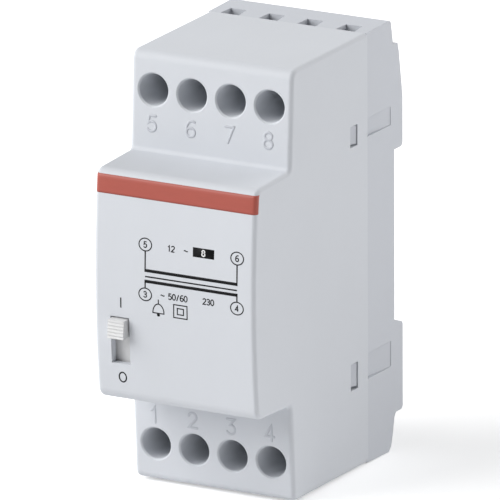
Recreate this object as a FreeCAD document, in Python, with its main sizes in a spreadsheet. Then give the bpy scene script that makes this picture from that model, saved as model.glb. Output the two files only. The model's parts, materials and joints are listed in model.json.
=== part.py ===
import FreeCAD, Part
import Sketcher
import math
import os
import re

# Bell transformer for a 35 mm rail, two modules wide.
# Millimetres. X runs across the front, Y runs back into the wall, Z is up.
# The origin is the middle of the rail seat, so every "depth" is measured forward from the
# rail's face, along -Y, and every "height" is measured up or down from the rail's middle.

SIZES = {
    # Housing outline
    "width": 36.0,
    "joint_depth": 11.5,
    "joint_draft": 0.3,
    "shoulder_depth": 42.0,
    "shoulder_height": 44.1,
    "shoulder_lean": 1.1,
    "shoulder_rise": 20.6,
    "nose_run": 13.5,
    "nose_draft": 0.54,
    "nose_bulge": 1.25,
    "cover_wall": 1.6,
    "hollow_draft": 0.4,
    "shoulder_radius": 2.0,
    "heel_radius": 1.6,
    "nose_top_radius": 2.0,
    "nose_foot_radius": 2.5,
    "step_radius": 0.95,
    "corner_radius": 0.9,
    # How far a rib runs into the wall that carries it, and a cut starts outside the wall
    "lap": 0.1,
    "root": 0.5,
    "margin": 1.0,
    # Rear base
    "base_inset": 0.2,
    "base_wall": 1.4,
    "back_draft": 0.3,
    "back_edge_depth": 1.4,
    "back_break_drop": 5.1,
    "back_break_depth": 0.4,
    "back_bevel": 1.0,
    "base_radius": 1.0,
    "rail_gap": 35.3,
    "lug_depth": 3.5,
    "upper_lug_drop": 16.7,
    "upper_lug_step": 0.3,
    "upper_lug_shoulder_depth": 1.5,
    "upper_lug_fall": 1.8,
    "upper_lug_lead": 0.5,
    "lower_lug_rise": 7.6,
    "lower_lug_lead": 1.25,
    "lower_lug_fall": 0.8,
    "lower_lug_foot": 0.6,
    "lower_back_rise": 2.7,
    "lower_back_depth": 0.9,
    "lug_radius": 0.9,
    "cheek_wall": 2.2,
    "cheek_lap": 0.5,
    "relief_side": 6.6,
    "relief_edge": 4.65,
    "relief_cut": 0.6,
    # Rail hooks and latch
    "rail_lip": 1.0,
    "rail_lip_room": 0.4,
    "hook_inner": 3.5,
    "hook_width": 9.0,
    "hook_reach": 1.8,
    "hook_ramp": 1.1,
    "hook_bevel": 1.0,
    "latch_width": 13.0,
    "latch_plate": 2.3,
    "latch_end_rise": 2.1,
    "latch_head": 3.3,
    "latch_lead": 0.4,
    "latch_bevel": 1.5,
    "slide_gap": 0.3,
    "guide_wall": 2.0,
    "guide_lip": 1.1,
    "guide_length": 11.6,
    "window_width": 5.2,
    "window_drop": 8.35,
    "window_land": 4.5,
    "stop_height": 2.4,
    "tool_slot_width": 6.0,
    "tool_slot_height": 1.6,
    "tool_slot_edge": 1.4,
    "spring_radius": 0.85,
    "spring_wire": 0.22,
    "spring_turns": 7.0,
    # Side snaps
    "snap_reach": 4.1,
    "snap_window_run": 3.0,
    "upper_window_rise": 0.9,
    "upper_window_height": 4.3,
    "lower_window_rise": 1.4,
    "lower_window_height": 5.5,
    "snap_gap": 0.3,
    "snap_side_gap": 0.2,
    "snap_lower_gap": 0.5,
    "snap_lead": 1.0,
    "snap_arm": 1.2,
    "snap_fall": 0.7,
    "finger_back_depth": 1.5,
    "finger_front": 0.85,
    "finger_back": 0.1,
    "finger_rise": 0.5,
    "finger_lower_rise": 0.6,
    "finger_lower_lap": 0.4,
    # Terminals
    "terminal_gap": 0.5,
    "terminal_edge": 7.7,
    "driver_hole": 6.5,
    "well_wall": 0.85,
    "well_lap": 0.2,
    "well_lip_hole": 4.9,
    "well_lip": 1.8,
    "well_lip_gap": 0.5,
    "well_sink": 0.3,
    "mouth_chamfer": 0.3,
    "screw_head": 5.6,
    "screw_head_height": 2.4,
    "screw_head_gap": 0.4,
    "screw_diameter": 3.5,
    "screw_play": 0.05,
    "screw_tip_gap": 0.1,
    "screw_slot": 0.9,
    "screw_slot_depth": 1.3,
    "screw_cross": 3.4,
    "screw_point": 0.4,
    "screw_bevel": 0.3,
    "clamp_gap": 0.9,
    "bar_thickness": 1.3,
    "bar_reach": 3.4,
    "bar_tag_width": 2.4,
    "bar_tag_length": 3.4,
    "bar_tag_hole": 1.2,
    "bar_bevel": 0.6,
    "clamp_wall": 0.75,
    "clamp_plate": 2.0,
    "clamp_floor": 1.2,
    "clamp_length": 6.0,
    "clamp_radius": 0.5,
    "clamp_travel": 3.6,
    "shelf_drop": 8.2,
    "shelf_wall": 1.6,
    "shelf_lead": 0.4,
    "comb_wall": 1.2,
    "comb_drop": 5.9,
    "comb_gap": 0.2,
    "entry_front": 4.4,
    "entry_back": 3.6,
    "entry_run": 3.8,
    # Core and windings
    "coil_room": 1.0,
    "core_room": 2.5,
    "core_window": 21.0,
    "core_back_depth": 4.0,
    "core_hole": 3.2,
    "core_rib": 1.6,
    "core_post_gap": 0.5,
    "core_rib_end": 1.0,
    "core_post": 3.2,
    "core_post_edge": 4.0,
    "bobbin_play": 0.15,
    "bobbin_wall": 1.0,
    "bobbin_flange": 6.9,
    "bobbin_edge": 0.2,
    "chamber_wall": 0.8,
    "chamber_place": 11.7,
    "winding_edge": 0.5,
    "wrap_edge": 0.25,
    "winding_corner": 3.0,
    "wrap_end": 0.2,
    "fuse_diameter": 3.8,
    "fuse_length": 9.0,
    "fuse_gap": 1.2,
    "fuse_seat": 0.1,
    # Switch
    "slot_edge": 5.7,
    "slot_width": 4.2,
    "slot_length": 9.75,
    "slot_foot": 7.75,
    "knob_height": 3.7,
    "knob_top_rise": 1.5,
    "knob_foot_rise": 1.9,
    "grip_land": 0.62,
    "grip_depth": 0.2,
    "plate_sink": 1.35,
    "plate_thickness": 1.0,
    "plate_gap": 0.45,
    "plate_width": 5.8,
    "plate_lap": 0.5,
    "stem_width": 1.2,
    "stem_height": 2.0,
    "stem_reach": 3.3,
    "block_sink": 2.45,
    "block_depth": 7.9,
    "block_wall": 0.8,
    "block_gap": 0.1,
    "block_foot": 0.5,
    "cradle_wall": 1.0,
    "cradle_room": 0.5,
    "cradle_back": 0.5,
    "bridge_plate": 0.5,
    "bridge_height": 3.0,
    "contact_plate": 0.6,
    "contact_width": 1.7,
    "contact_gap": 0.4,
    "contact_lift": 0.1,
    "dome_edge": 0.2,
    "contact_tail_length": 1.5,
    # Leads
    "lead_diameter": 1.4,
    "lead_lap": 0.8,
}

doc = FreeCAD.newDocument("bell_transformer")
sheet = doc.addObject("Spreadsheet::Sheet", "dims")
for row, (size_name, size) in enumerate(SIZES.items(), 1):
    sheet.set(f"A{row}", size_name)
    sheet.set(f"B{row}", str(size))
    sheet.setAlias(f"B{row}", size_name)
doc.recompute()

# Sizes that follow from the driving ones, in words that any expression may use
DERIVED = {
    "half_width": "width / 2",
    "cover_inner": "half_width - cover_wall",
    "base_half": "half_width - base_inset",
    "base_inner": "base_half - base_wall",
    "joint_height": "shoulder_height + joint_draft",
    "back_height": "joint_height + back_draft",
    "step_depth": "shoulder_depth + shoulder_lean",
    "nose_depth": "step_depth + nose_run",
    "nose_height": "shoulder_height - shoulder_rise",
    "step_height": "nose_height + nose_draft",
    "nose_radius": "(nose_height ^ 2 + nose_bulge ^ 2) / (2 * nose_bulge)",
    "nose_inner": "nose_height - cover_wall",
    "shoulder_inner": "shoulder_height - cover_wall",
    "seat": "rail_gap / 2",
    "upper_lug_knee": "back_height - upper_lug_drop",
    "back_break_height": "back_height - back_break_drop",
    "upper_lug_shoulder": "back_break_height - upper_lug_step",
    "lower_lug_end": "back_height - lower_lug_rise",
    "lower_back_break": "back_height - lower_back_rise",
    "cheek_inner": "base_half - cheek_wall",
    "relief_half_width": "base_half - relief_side",
    "relief_half_height": "seat - relief_edge",
    "lip_back": "rail_lip + rail_lip_room",
    "latch_back": "slide_gap + latch_plate",
    "latch_end": "back_height - latch_end_rise",
    "latch_top": "seat + latch_head",
    "window_top": "seat + window_drop",
    "window_foot": "latch_end - window_land",
    "stop_foot": "window_foot - slide_gap",
    "stop_top": "stop_foot - stop_height",
    "snap_window_depth": "joint_depth + snap_reach",
    "upper_window_low": "nose_height - upper_window_rise",
    "upper_window_high": "upper_window_low + upper_window_height",
    "lower_window_low": "nose_height - lower_window_rise",
    "lower_window_high": "lower_window_low + lower_window_height",
    "pitch": "(base_inner - terminal_gap + comb_wall / 2 + clamp_gap) / 2",
    "terminal_height": "shoulder_height - terminal_edge",
    "shelf_height": "terminal_height - shelf_drop",
    "shelf_depth": "joint_depth + shelf_lead",
    "comb_low": "terminal_height - comb_drop",
    "bar_front": "shelf_depth + bar_thickness",
    "bar_width": "clamp_width - 2 * clamp_wall - 2 * slide_gap",
    "bar_tag_end": "shelf_drop + bar_tag_length",
    "clamp_width": "pitch - comb_wall - 2 * clamp_gap",
    "clamp_plate_back": "bar_front + slide_gap",
    "clamp_plate_front": "clamp_plate_back + clamp_plate",
    "clamp_floor_front": "joint_depth - entry_run",
    "clamp_inner": "bar_width / 2 + slide_gap",
    "screw_tip": "bar_front + screw_tip_gap",
    "screw_head_back": "clamp_plate_front + clamp_travel + screw_head_gap",
    "screw_head_front": "screw_head_back + screw_head_height",
    "well_end": "screw_head_back + well_lap",
    "well_lip_back": "screw_head_front + well_lip_gap",
    "well_lip_front": "well_lip_back + well_lip",
    "core_half": "nose_height - core_room",
    "core_leg": "core_half / 3",
    "core_stack": "2 * (flange_x - bobbin_flange)",
    "core_inner": "core_half - core_leg",
    "core_post_height": "core_half - core_post_edge",
    "core_rib_place": "cradle_place - cradle_wall - core_post / 2 - core_post_gap",
    "core_front": "core_back_depth + 2 * core_leg + core_window",
    "window_front": "core_front - core_leg",
    "window_back": "core_back_depth + core_leg",
    "bobbin_front": "window_front - bobbin_edge / 2",
    "bobbin_back": "window_back + bobbin_edge / 2",
    "tube_x": "core_stack / 2 + bobbin_play + bobbin_wall",
    "tube_z": "core_leg + bobbin_play + bobbin_wall",
    "flange_x": "cover_inner - coil_room",
    "flange_z": "2 * core_leg - bobbin_edge",
    "slot_place": "half_width - slot_edge",
    "slot_bottom": "nose_height - slot_foot",
    "slot_top": "slot_bottom - slot_length",
    "knob_top": "slot_top + slide_gap",
    "knob_foot": "knob_top + knob_height",
    "knob_middle": "knob_top + knob_height / 2",
    "switch_travel": "slot_length - knob_height - 2 * slide_gap",
    "plate_front": "nose_depth - plate_sink",
    "plate_back": "plate_front - plate_thickness",
    "cradle_top": "slot_top - plate_lap - switch_travel - slide_gap - cradle_room",
    "cradle_place": "slot_place - plate_width / 2 - slide_gap - cradle_room",
    "block_top": "cradle_top + block_gap",
    "block_inner_top": "block_top + block_wall",
    "block_front": "nose_depth - block_sink",
    "block_back": "block_front - block_depth",
    "stem_back": "block_front - stem_reach",
    "contact_tail": "block_back - contact_tail_length",
}

COLUMNS = 4
SCREW_TURN = 37
GRIP_RIBS = 5
ROWS = {"lower": -1, "upper": 1}
SUB_PARTS = []


def bind(text):
    """The expression with every size named by its cell in the sheet."""
    def cell(word):
        name = word[0]
        if name in DERIVED:
            return f"({bind(DERIVED[name])})"
        return f"dims.{name}" if name in SIZES else name
    return re.sub(r"[a-z][a-z_]*", cell, str(text))


def value(text):
    """The number that an expression stands for now."""
    return float(sheet.evalExpression(bind(text)))


def column_place(column):
    """The place across the front of one column of terminals."""
    return f"({column - (COLUMNS - 1) / 2} * pitch)"


def new_body(label):
    """An empty body that becomes one sub-part."""
    body = doc.addObject("PartDesign::Body", label)
    body.Label = label
    SUB_PARTS.append(body)
    return body


def add_sketch(body, plane, offset="0"):
    """A sketch on one of the body's own planes, moved along the plane's normal.

    The normal of XZ_Plane points forward, of YZ_Plane to the right, of XY_Plane up.
    """
    sketch = body.newObject("Sketcher::SketchObject", f"{body.Name}_sketch")
    support = next(f for f in body.Origin.OriginFeatures if f.Role == plane)
    sketch.AttachmentSupport = (support, "")
    sketch.MapMode = "FlatFace"
    sketch.setExpression("AttachmentOffset.Base.z", bind(offset))
    return sketch


def fix_point(sketch, geometry, point, place):
    """Ties one point of a sketch to its place from the origin."""
    for kind, text in zip(("DistanceX", "DistanceY"), place):
        rule = Sketcher.Constraint(kind, -1, 1, geometry, point, value(text))
        index = sketch.addConstraint(rule)
        sketch.setExpression(f"Constraints[{index}]", bind(text))


def add_polygon(sketch, corners, arc_from=None, arc_radius=None):
    """A closed outline through the corners; one side may be an arc that bulges outward."""
    first = sketch.GeometryCount
    points = [FreeCAD.Vector(value(u), value(v), 0) for u, v in corners]
    count = len(points)
    for side in range(count):
        start, end = points[side], points[(side + 1) % count]
        if side == arc_from:
            radius = value(arc_radius)
            half_chord = (end - start).Length / 2
            across = (end - start).normalize().cross(FreeCAD.Vector(0, 0, 1))
            rise = radius - math.sqrt(radius ** 2 - half_chord ** 2)
            middle = (start + end) / 2 + across * rise
            sketch.addGeometry(Part.Arc(start, middle, end))
            index = sketch.addConstraint(Sketcher.Constraint("Radius", first + side, radius))
            sketch.setExpression(f"Constraints[{index}]", bind(arc_radius))
        else:
            sketch.addGeometry(Part.LineSegment(start, end))
    for side in range(count):
        following = first + (side + 1) % count
        sketch.addConstraint(Sketcher.Constraint("Coincident", first + side, 2, following, 1))
    for side, corner in enumerate(corners):
        fix_point(sketch, first + side, 1, corner)


def add_rectangle(sketch, left, low, right, high):
    """A rectangle from its lower left to its upper right corner."""
    add_polygon(sketch, [(left, low), (right, low), (right, high), (left, high)])


def add_centred(sketch, half_u, half_v):
    """A rectangle centred on the sketch's origin."""
    add_rectangle(sketch, f"-{half_u}", f"-{half_v}", half_u, half_v)


def add_circle(sketch, u, v, diameter):
    """A circle by its centre and diameter."""
    centre = FreeCAD.Vector(value(u), value(v), 0)
    radius = f"({diameter}) / 2"
    geometry = sketch.addGeometry(
        Part.Circle(centre, FreeCAD.Vector(0, 0, 1), value(radius)))
    index = sketch.addConstraint(Sketcher.Constraint("Radius", geometry, value(radius)))
    sketch.setExpression(f"Constraints[{index}]", bind(radius))
    fix_point(sketch, geometry, 3, (u, v))


def extrude(body, kind, sketch, length, symmetric=False, reverse=False):
    """A Pad or Pocket that must change the body's volume."""
    before = body.Shape.Volume if body.Tip else 0.0
    feature = body.newObject(f"PartDesign::{kind}", f"{body.Name}_{kind.lower()}")
    feature.Profile = sketch
    feature.SideType = "Symmetric" if symmetric else "One side"
    feature.Reversed = reverse
    feature.setExpression("Length", bind(length))
    doc.recompute()
    change = body.Shape.Volume - before
    if (change <= 0) if kind == "Pad" else (change >= 0):
        raise RuntimeError(f"{feature.Name} changes {body.Label} by {change:.3f} mm3")
    return feature


def pad(body, sketch, length, **settings):
    """Material added along the sketch's normal."""
    return extrude(body, "Pad", sketch, length, **settings)


def pocket(body, sketch, length, **settings):
    """Material removed against the sketch's normal."""
    return extrude(body, "Pocket", sketch, length, **settings)


def dress(body, kind, size_property, size_text, picked):
    """A Fillet or Chamfer on the picked edges of the body's last feature."""
    base, before = body.Tip, body.Shape.Volume
    names = [f"Edge{n}" for n, edge in enumerate(base.Shape.Edges, 1) if picked(edge)]
    if not names:
        raise RuntimeError(f"no edge picked on {body.Label}")
    feature = body.newObject(f"PartDesign::{kind}", f"{body.Name}_{kind.lower()}")
    feature.Base = (base, names)
    feature.setExpression(size_property, bind(size_text))
    doc.recompute()
    if not feature.isValid() or body.Shape.Volume == before:
        raise RuntimeError(f"{feature.Name} leaves {body.Label} as it was")
    return feature


def fillet(body, radius, picked):
    """Rounded edges."""
    return dress(body, "Fillet", "Radius", radius, picked)


def chamfer(body, size_text, picked):
    """Bevelled edges."""
    return dress(body, "Chamfer", "Size", size_text, picked)


def along_x(depth, height):
    """Picks the edge along X at a depth and height."""
    place = FreeCAD.Vector(0, -value(depth), value(height))

    def picked(edge):
        ends = [vertex.Point for vertex in edge.Vertexes]
        if len(ends) != 2 or abs(ends[0].x - ends[1].x) < 1:
            return False
        return all(math.hypot(end.y - place.y, end.z - place.z) < 0.02 for end in ends)
    return picked


def side_rim(half_width, joint_y):
    """Picks the rims of the two side faces, apart from the edge at the housing's joint."""
    limit = value(half_width)

    def picked(edge):
        box = edge.BoundBox
        on_side = min(abs(box.XMin), abs(box.XMax)) > limit - 0.001
        at_joint = max(abs(box.YMin - joint_y), abs(box.YMax - joint_y)) < 0.001
        return on_side and not at_joint
    return picked


# Front cover

def make_front_cover():
    """The moulded front shell: shoulders, nose, screwdriver wells and switch cradle."""
    body = new_body("front_cover")
    outline = add_sketch(body, "YZ_Plane")
    add_polygon(outline, [
        ("-joint_depth", "joint_height"),
        ("-shoulder_depth", "shoulder_height"),
        ("-step_depth", "step_height"),
        ("-nose_depth", "nose_height"),
        ("-nose_depth", "-nose_height"),
        ("-step_depth", "-step_height"),
        ("-shoulder_depth", "-shoulder_height"),
        ("-joint_depth", "-joint_height"),
    ], arc_from=3, arc_radius="nose_radius")
    pad(body, outline, "width", symmetric=True)

    fillet(body, "shoulder_radius", along_x("shoulder_depth", "shoulder_height"))
    fillet(body, "heel_radius", along_x("shoulder_depth", "-shoulder_height"))
    fillet(body, "nose_top_radius", along_x("nose_depth", "nose_height"))
    fillet(body, "nose_foot_radius", along_x("nose_depth", "-nose_height"))
    upper_step = along_x("step_depth", "step_height")
    lower_step = along_x("step_depth", "-step_height")
    fillet(body, "step_radius", lambda edge: upper_step(edge) or lower_step(edge))
    fillet(body, "corner_radius", side_rim("half_width", -value("joint_depth")))

    # The hollow follows the outline at the wall's thickness
    hollow = add_sketch(body, "YZ_Plane")
    hollow_shoulder = "(shoulder_depth - cover_wall)"
    hollow_step = "(step_depth - cover_wall)"
    hollow_nose = "(nose_depth - cover_wall)"
    mouth = "(joint_depth - margin)"
    add_polygon(hollow, [
        (f"-{mouth}", "shoulder_inner"),
        (f"-{hollow_shoulder}", "shoulder_inner"),
        (f"-{hollow_step}", "nose_inner + hollow_draft"),
        (f"-{hollow_nose}", "nose_inner"),
        (f"-{hollow_nose}", "-nose_inner"),
        (f"-{hollow_step}", "-nose_inner - hollow_draft"),
        (f"-{hollow_shoulder}", "-shoulder_inner"),
        (f"-{mouth}", "-shoulder_inner"),
    ], arc_from=3, arc_radius="nose_radius")
    pocket(body, hollow, "2 * cover_inner", symmetric=True)

    # Screwdriver wells behind the shoulders, each with a lip that keeps its screw in
    wells = add_sketch(body, "XZ_Plane", "well_end")
    each_terminal(wells, "driver_hole + 2 * well_wall")
    pad(body, wells, "shoulder_depth - well_end - well_sink")
    bores = add_sketch(body, "XZ_Plane", "step_depth + margin")
    each_terminal(bores, "driver_hole")
    pocket(body, bores, "step_depth + margin - well_lip_front")
    lips = add_sketch(body, "XZ_Plane", "well_lip_front + lap")
    each_terminal(lips, "well_lip_hole")
    pocket(body, lips, "well_lip_front - well_lip_back + 2 * lap")
    seats = add_sketch(body, "XZ_Plane", "well_lip_back")
    each_terminal(seats, "screw_head + 2 * slide_gap")
    pocket(body, seats, "well_lip_back - well_end + lap")
    mouth_width, mouth_depth = value("driver_hole"), value("shoulder_depth")

    def mouth_edge(edge):
        box = edge.BoundBox
        wide = abs(box.XLength - mouth_width) < 0.02
        return wide and box.Center.y < -mouth_depth and box.YLength > 0.05
    chamfer(body, "mouth_chamfer", mouth_edge)

    # Windows for the side snaps
    windows = add_sketch(body, "YZ_Plane")
    for low, high in (("upper_window_low", "upper_window_high"),
                      ("-lower_window_high", "-lower_window_low")):
        add_rectangle(windows, "-snap_window_depth - snap_window_run", low,
                      "-snap_window_depth", high)
    pocket(body, windows, "width + 2 * margin", symmetric=True)

    # Slot for the switch knob
    slot = add_sketch(body, "XZ_Plane", "nose_depth + 2 * nose_bulge")
    add_rectangle(slot, "-slot_place - slot_width / 2", "-slot_bottom",
                  "-slot_place + slot_width / 2", "-slot_top")
    pocket(body, slot, "2 * nose_bulge + cover_wall")
    channel = add_sketch(body, "XZ_Plane", "plate_front + plate_gap")
    half_channel = "(plate_width / 2 + slide_gap)"
    add_rectangle(channel, f"-slot_place - {half_channel}",
                  "-slot_bottom - plate_lap - switch_travel - slide_gap",
                  f"-slot_place + {half_channel}",
                  "-slot_top + plate_lap + switch_travel + slide_gap")
    pocket(body, channel, "cover_wall")

    # Cradle of the switch block, and posts that hold the core down
    cradle = add_sketch(body, "XZ_Plane", "block_back + cradle_back")
    add_polygon(cradle, [
        ("-cover_inner - lap", "-cradle_top"),
        ("-cradle_place", "-cradle_top"),
        ("-cradle_place", "-nose_inner - hollow_draft"),
        ("-cradle_place + cradle_wall", "-nose_inner - hollow_draft"),
        ("-cradle_place + cradle_wall", "-cradle_top + cradle_wall"),
        ("-cover_inner - lap", "-cradle_top + cradle_wall"),
    ])
    pad(body, cradle, "nose_depth - cover_wall / 2 - block_back - cradle_back")
    posts = add_sketch(body, "XZ_Plane", "core_front")
    for side in (-1, 1):
        for level in (-1, 1):
            add_circle(posts, f"{side} * core_rib_place", f"{level} * core_post_height",
                       "core_post")
    pad(body, posts, "nose_depth - cover_wall / 2 - core_front")
    return body


def each_terminal(sketch, diameter):
    """One circle on the axis of every terminal screw."""
    for level in ROWS.values():
        for column in range(COLUMNS):
            add_circle(sketch, column_place(column), f"{level} * terminal_height", diameter)


# Rear base

def make_rear_base():
    """The moulded base: rail seat with its hooks, lugs, wire entries, combs and snaps."""
    body = new_body("rear_base")
    outline = add_sketch(body, "YZ_Plane")
    add_polygon(outline, [
        ("-joint_depth", "joint_height"),
        ("-joint_depth", "-joint_height"),
        ("-back_edge_depth - back_bevel", "-back_height"),
        ("-back_edge_depth", "-back_height + back_bevel"),
        ("-lower_back_depth", "-lower_back_break"),
        ("0", "-lower_lug_end - lower_lug_fall"),
        ("lower_lug_foot", "-lower_lug_end"),
        ("lug_depth", "-lower_lug_end"),
        ("lug_depth", "-seat - lower_lug_lead"),
        ("0", "-seat"),
        ("0", "seat"),
        ("lug_depth", "seat"),
        ("lug_depth", "upper_lug_knee"),
        ("upper_lug_shoulder_depth + upper_lug_lead",
         "upper_lug_shoulder - upper_lug_fall"),
        ("upper_lug_shoulder_depth", "upper_lug_shoulder"),
        ("-back_break_depth", "back_break_height"),
        ("-back_edge_depth", "back_height"),
    ])
    pad(body, outline, "2 * base_half", symmetric=True)
    fillet(body, "base_radius", along_x("back_edge_depth", "back_height"))
    corners = [along_x("-lug_depth", "seat"), along_x("-lug_depth", "-seat - lower_lug_lead"),
               along_x("-lug_depth", "-lower_lug_end")]
    fillet(body, "lug_radius", lambda edge: any(corner(edge) for corner in corners))

    # The tray
    tray = add_sketch(body, "XZ_Plane", "joint_depth + margin")
    add_centred(tray, "base_inner", "shoulder_inner")
    pocket(body, tray, "joint_depth + margin - base_wall")

    # Relief in the rail seat
    relief = add_sketch(body, "XZ_Plane", "-relief_cut")
    add_centred(relief, "relief_half_width", "relief_half_height")
    pocket(body, relief, "2 * relief_cut", reverse=True)

    # Room between the cheeks of both lugs
    behind = add_sketch(body, "XZ_Plane", "-lug_depth - margin")
    add_rectangle(behind, "-cheek_inner", "seat - cheek_lap", "cheek_inner",
                  "upper_lug_shoulder + 2 * margin")
    add_rectangle(behind, "-cheek_inner", "-back_height", "cheek_inner", "-seat + cheek_lap")
    pocket(body, behind, "lug_depth + margin", reverse=True)

    # Wire entries in the top and bottom walls, closed in front by the cover
    entries = add_sketch(body, "XY_Plane")
    for column in range(COLUMNS):
        place = column_place(column)
        add_polygon(entries, [
            (f"{place} - entry_front / 2", "-joint_depth - margin"),
            (f"{place} + entry_front / 2", "-joint_depth - margin"),
            (f"{place} + entry_back / 2", "-joint_depth + entry_run"),
            (f"{place} - entry_back / 2", "-joint_depth + entry_run"),
        ])
    pocket(body, entries, "2 * back_height + 2 * margin", symmetric=True)

    # Finger recesses in the sides, deeper at the joint
    finger_recess(body, "upper_window_low + finger_rise", "upper_window_high")
    finger_recess(body, "-lower_window_high + finger_lower_rise",
                  "-lower_window_low + finger_lower_lap")

    # Hooks that hold the rail's upper edge
    for side in ("hook_inner", "-hook_inner - hook_width"):
        hook = add_sketch(body, "YZ_Plane", side)
        add_polygon(hook, [
            ("-root", "seat"),
            ("lip_back", "seat"),
            ("lip_back", "seat - hook_reach"),
            ("lug_depth - hook_ramp", "seat - hook_reach"),
            ("lug_depth", "seat - hook_reach + hook_ramp"),
            ("lug_depth", "upper_lug_knee - hook_bevel"),
            ("lug_depth - hook_bevel", "upper_lug_knee"),
            ("-root", "upper_lug_knee"),
        ])
        pad(body, hook, "hook_width")

    # Guides and stop of the rail latch
    guides = add_sketch(body, "XY_Plane", "-stop_foot")
    wall = "(latch_width / 2 + slide_gap)"
    for side in (-1, 1):
        add_polygon(guides, [
            (f"{side} * {wall}", "-root"),
            (f"{side} * ({wall} + guide_wall)", "-root"),
            (f"{side} * ({wall} + guide_wall)", "lug_depth"),
            (f"{side} * ({wall} - guide_lip)", "lug_depth"),
            (f"{side} * ({wall} - guide_lip)", "latch_back + slide_gap"),
            (f"{side} * {wall}", "latch_back + slide_gap"),
        ])
    pad(body, guides, "guide_length")
    stop = add_sketch(body, "XY_Plane", "-stop_foot")
    add_rectangle(stop, "-window_width / 2 + 2 * slide_gap", "-root",
                  "window_width / 2 - 2 * slide_gap", "latch_back")
    pad(body, stop, "stop_height")

    # Inner combs and shelves that guide the clamps and carry the contact bars
    inner_ribs(body)

    # Ribs under the core
    ribs = add_sketch(body, "XZ_Plane", "base_wall - lap")
    for side in (-1, 1):
        add_rectangle(ribs, f"{side} * core_rib_place - core_rib / 2",
                      "-core_half + core_rib_end",
                      f"{side} * core_rib_place + core_rib / 2", "core_half - core_rib_end")
    pad(body, ribs, "core_back_depth - base_wall + lap")

    # Snap arms with their hooks in the cover's windows
    snap_arms(body, "upper_window_low + snap_gap", "upper_window_high - snap_gap")
    snap_arms(body, "-lower_window_high + snap_lower_gap", "-lower_window_low - snap_gap")
    return body


def finger_recess(body, low, high):
    """A wedge cut into both sides of the base, just behind the joint."""
    wedge = add_sketch(body, "XY_Plane", low)
    for side in (-1, 1):
        add_polygon(wedge, [
            (f"{side} * (base_half + margin)", "-joint_depth - margin"),
            (f"{side} * (base_half - finger_front)", "-joint_depth - margin"),
            (f"{side} * (base_half - finger_front)", "-joint_depth"),
            (f"{side} * (base_half - finger_back)", "-finger_back_depth"),
            (f"{side} * (base_half + margin)", "-finger_back_depth"),
        ])
    pocket(body, wedge, f"({high}) - ({low})", reverse=True)


def snap_arms(body, low, high):
    """A pair of arms that reach into the cover, with hooks that fill its windows."""
    arms = add_sketch(body, "XY_Plane", low)
    outer = "(cover_inner - snap_side_gap)"
    front = "(snap_window_depth + snap_window_run - snap_gap)"
    back = "(snap_window_depth + snap_gap)"
    for side in (-1, 1):
        add_polygon(arms, [
            (f"{side} * ({outer} - snap_arm)", "-base_wall + lap"),
            (f"{side} * {outer}", "-base_wall + lap"),
            (f"{side} * {outer}", f"-{back}"),
            (f"{side} * base_half", f"-{back}"),
            (f"{side} * (base_half - snap_fall)", f"-{front}"),
            (f"{side} * {outer}", f"-{front}"),
            (f"{side} * ({outer} - snap_arm / 2)", f"-{front} - snap_lead"),
            (f"{side} * ({outer} - snap_arm)", f"-{front} - snap_lead"),
        ])
    pad(body, arms, f"({high}) - ({low})")


def inner_ribs(body):
    """Walls between the clamps and shelves behind the contact bars, above and below."""
    reach = "(shoulder_inner - snap_gap)"
    combs = add_sketch(body, "XZ_Plane", "base_wall - lap")
    shelves = add_sketch(body, "XZ_Plane", "base_wall - lap")
    for level in ROWS.values():
        for gap in range(1, COLUMNS):
            place = column_place(gap - 0.5)
            ends = ["comb_low", reach] if level > 0 else [f"-{reach}", "-comb_low"]
            add_rectangle(combs, f"{place} - comb_wall / 2", ends[0],
                          f"{place} + comb_wall / 2", ends[1])
        low = "shelf_height" if level > 0 else "-shelf_height - shelf_wall"
        high = "shelf_height + shelf_wall" if level > 0 else "-shelf_height"
        add_rectangle(shelves, "-base_inner + snap_gap", low,
                      "base_inner - snap_gap", high)
    pad(body, combs, "well_end - comb_gap - base_wall + lap")
    pad(body, shelves, "shelf_depth - base_wall + lap")


# Rail latch and its spring

def make_rail_latch():
    """The sliding latch that grips the rail's lower edge."""
    body = new_body("rail_latch")
    plate = add_sketch(body, "XZ_Plane", "-slide_gap")
    half = "latch_width / 2"
    add_polygon(plate, [
        (f"-{half}", "-latch_top"),
        (f"-{half}", "-latch_end + latch_bevel"),
        (f"-{half} + latch_bevel", "-latch_end"),
        (f"{half} - latch_bevel", "-latch_end"),
        (half, "-latch_end + latch_bevel"),
        (half, "-latch_top"),
    ])
    pad(body, plate, "latch_plate", reverse=True)
    head = add_sketch(body, "YZ_Plane")
    add_polygon(head, [
        ("slide_gap", "-latch_top"),
        ("lug_depth", "-latch_top"),
        ("lug_depth", "-seat + latch_lead"),
        ("lug_depth - hook_ramp", "-seat + hook_reach"),
        ("lip_back", "-seat + hook_reach"),
        ("lip_back", "-seat - slide_gap"),
        ("slide_gap", "-seat - slide_gap"),
    ])
    pad(body, head, "latch_width", symmetric=True)
    window = add_sketch(body, "XZ_Plane", "-lug_depth - margin")
    add_rectangle(window, "-window_width / 2", "-window_foot", "window_width / 2", "-window_top")
    slot_low = "(latch_end - tool_slot_edge)"
    add_rectangle(window, "-tool_slot_width / 2", f"-{slot_low}", "tool_slot_width / 2",
                  f"-{slot_low} + tool_slot_height")
    pocket(body, window, "lug_depth + margin", reverse=True)
    return body


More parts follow.
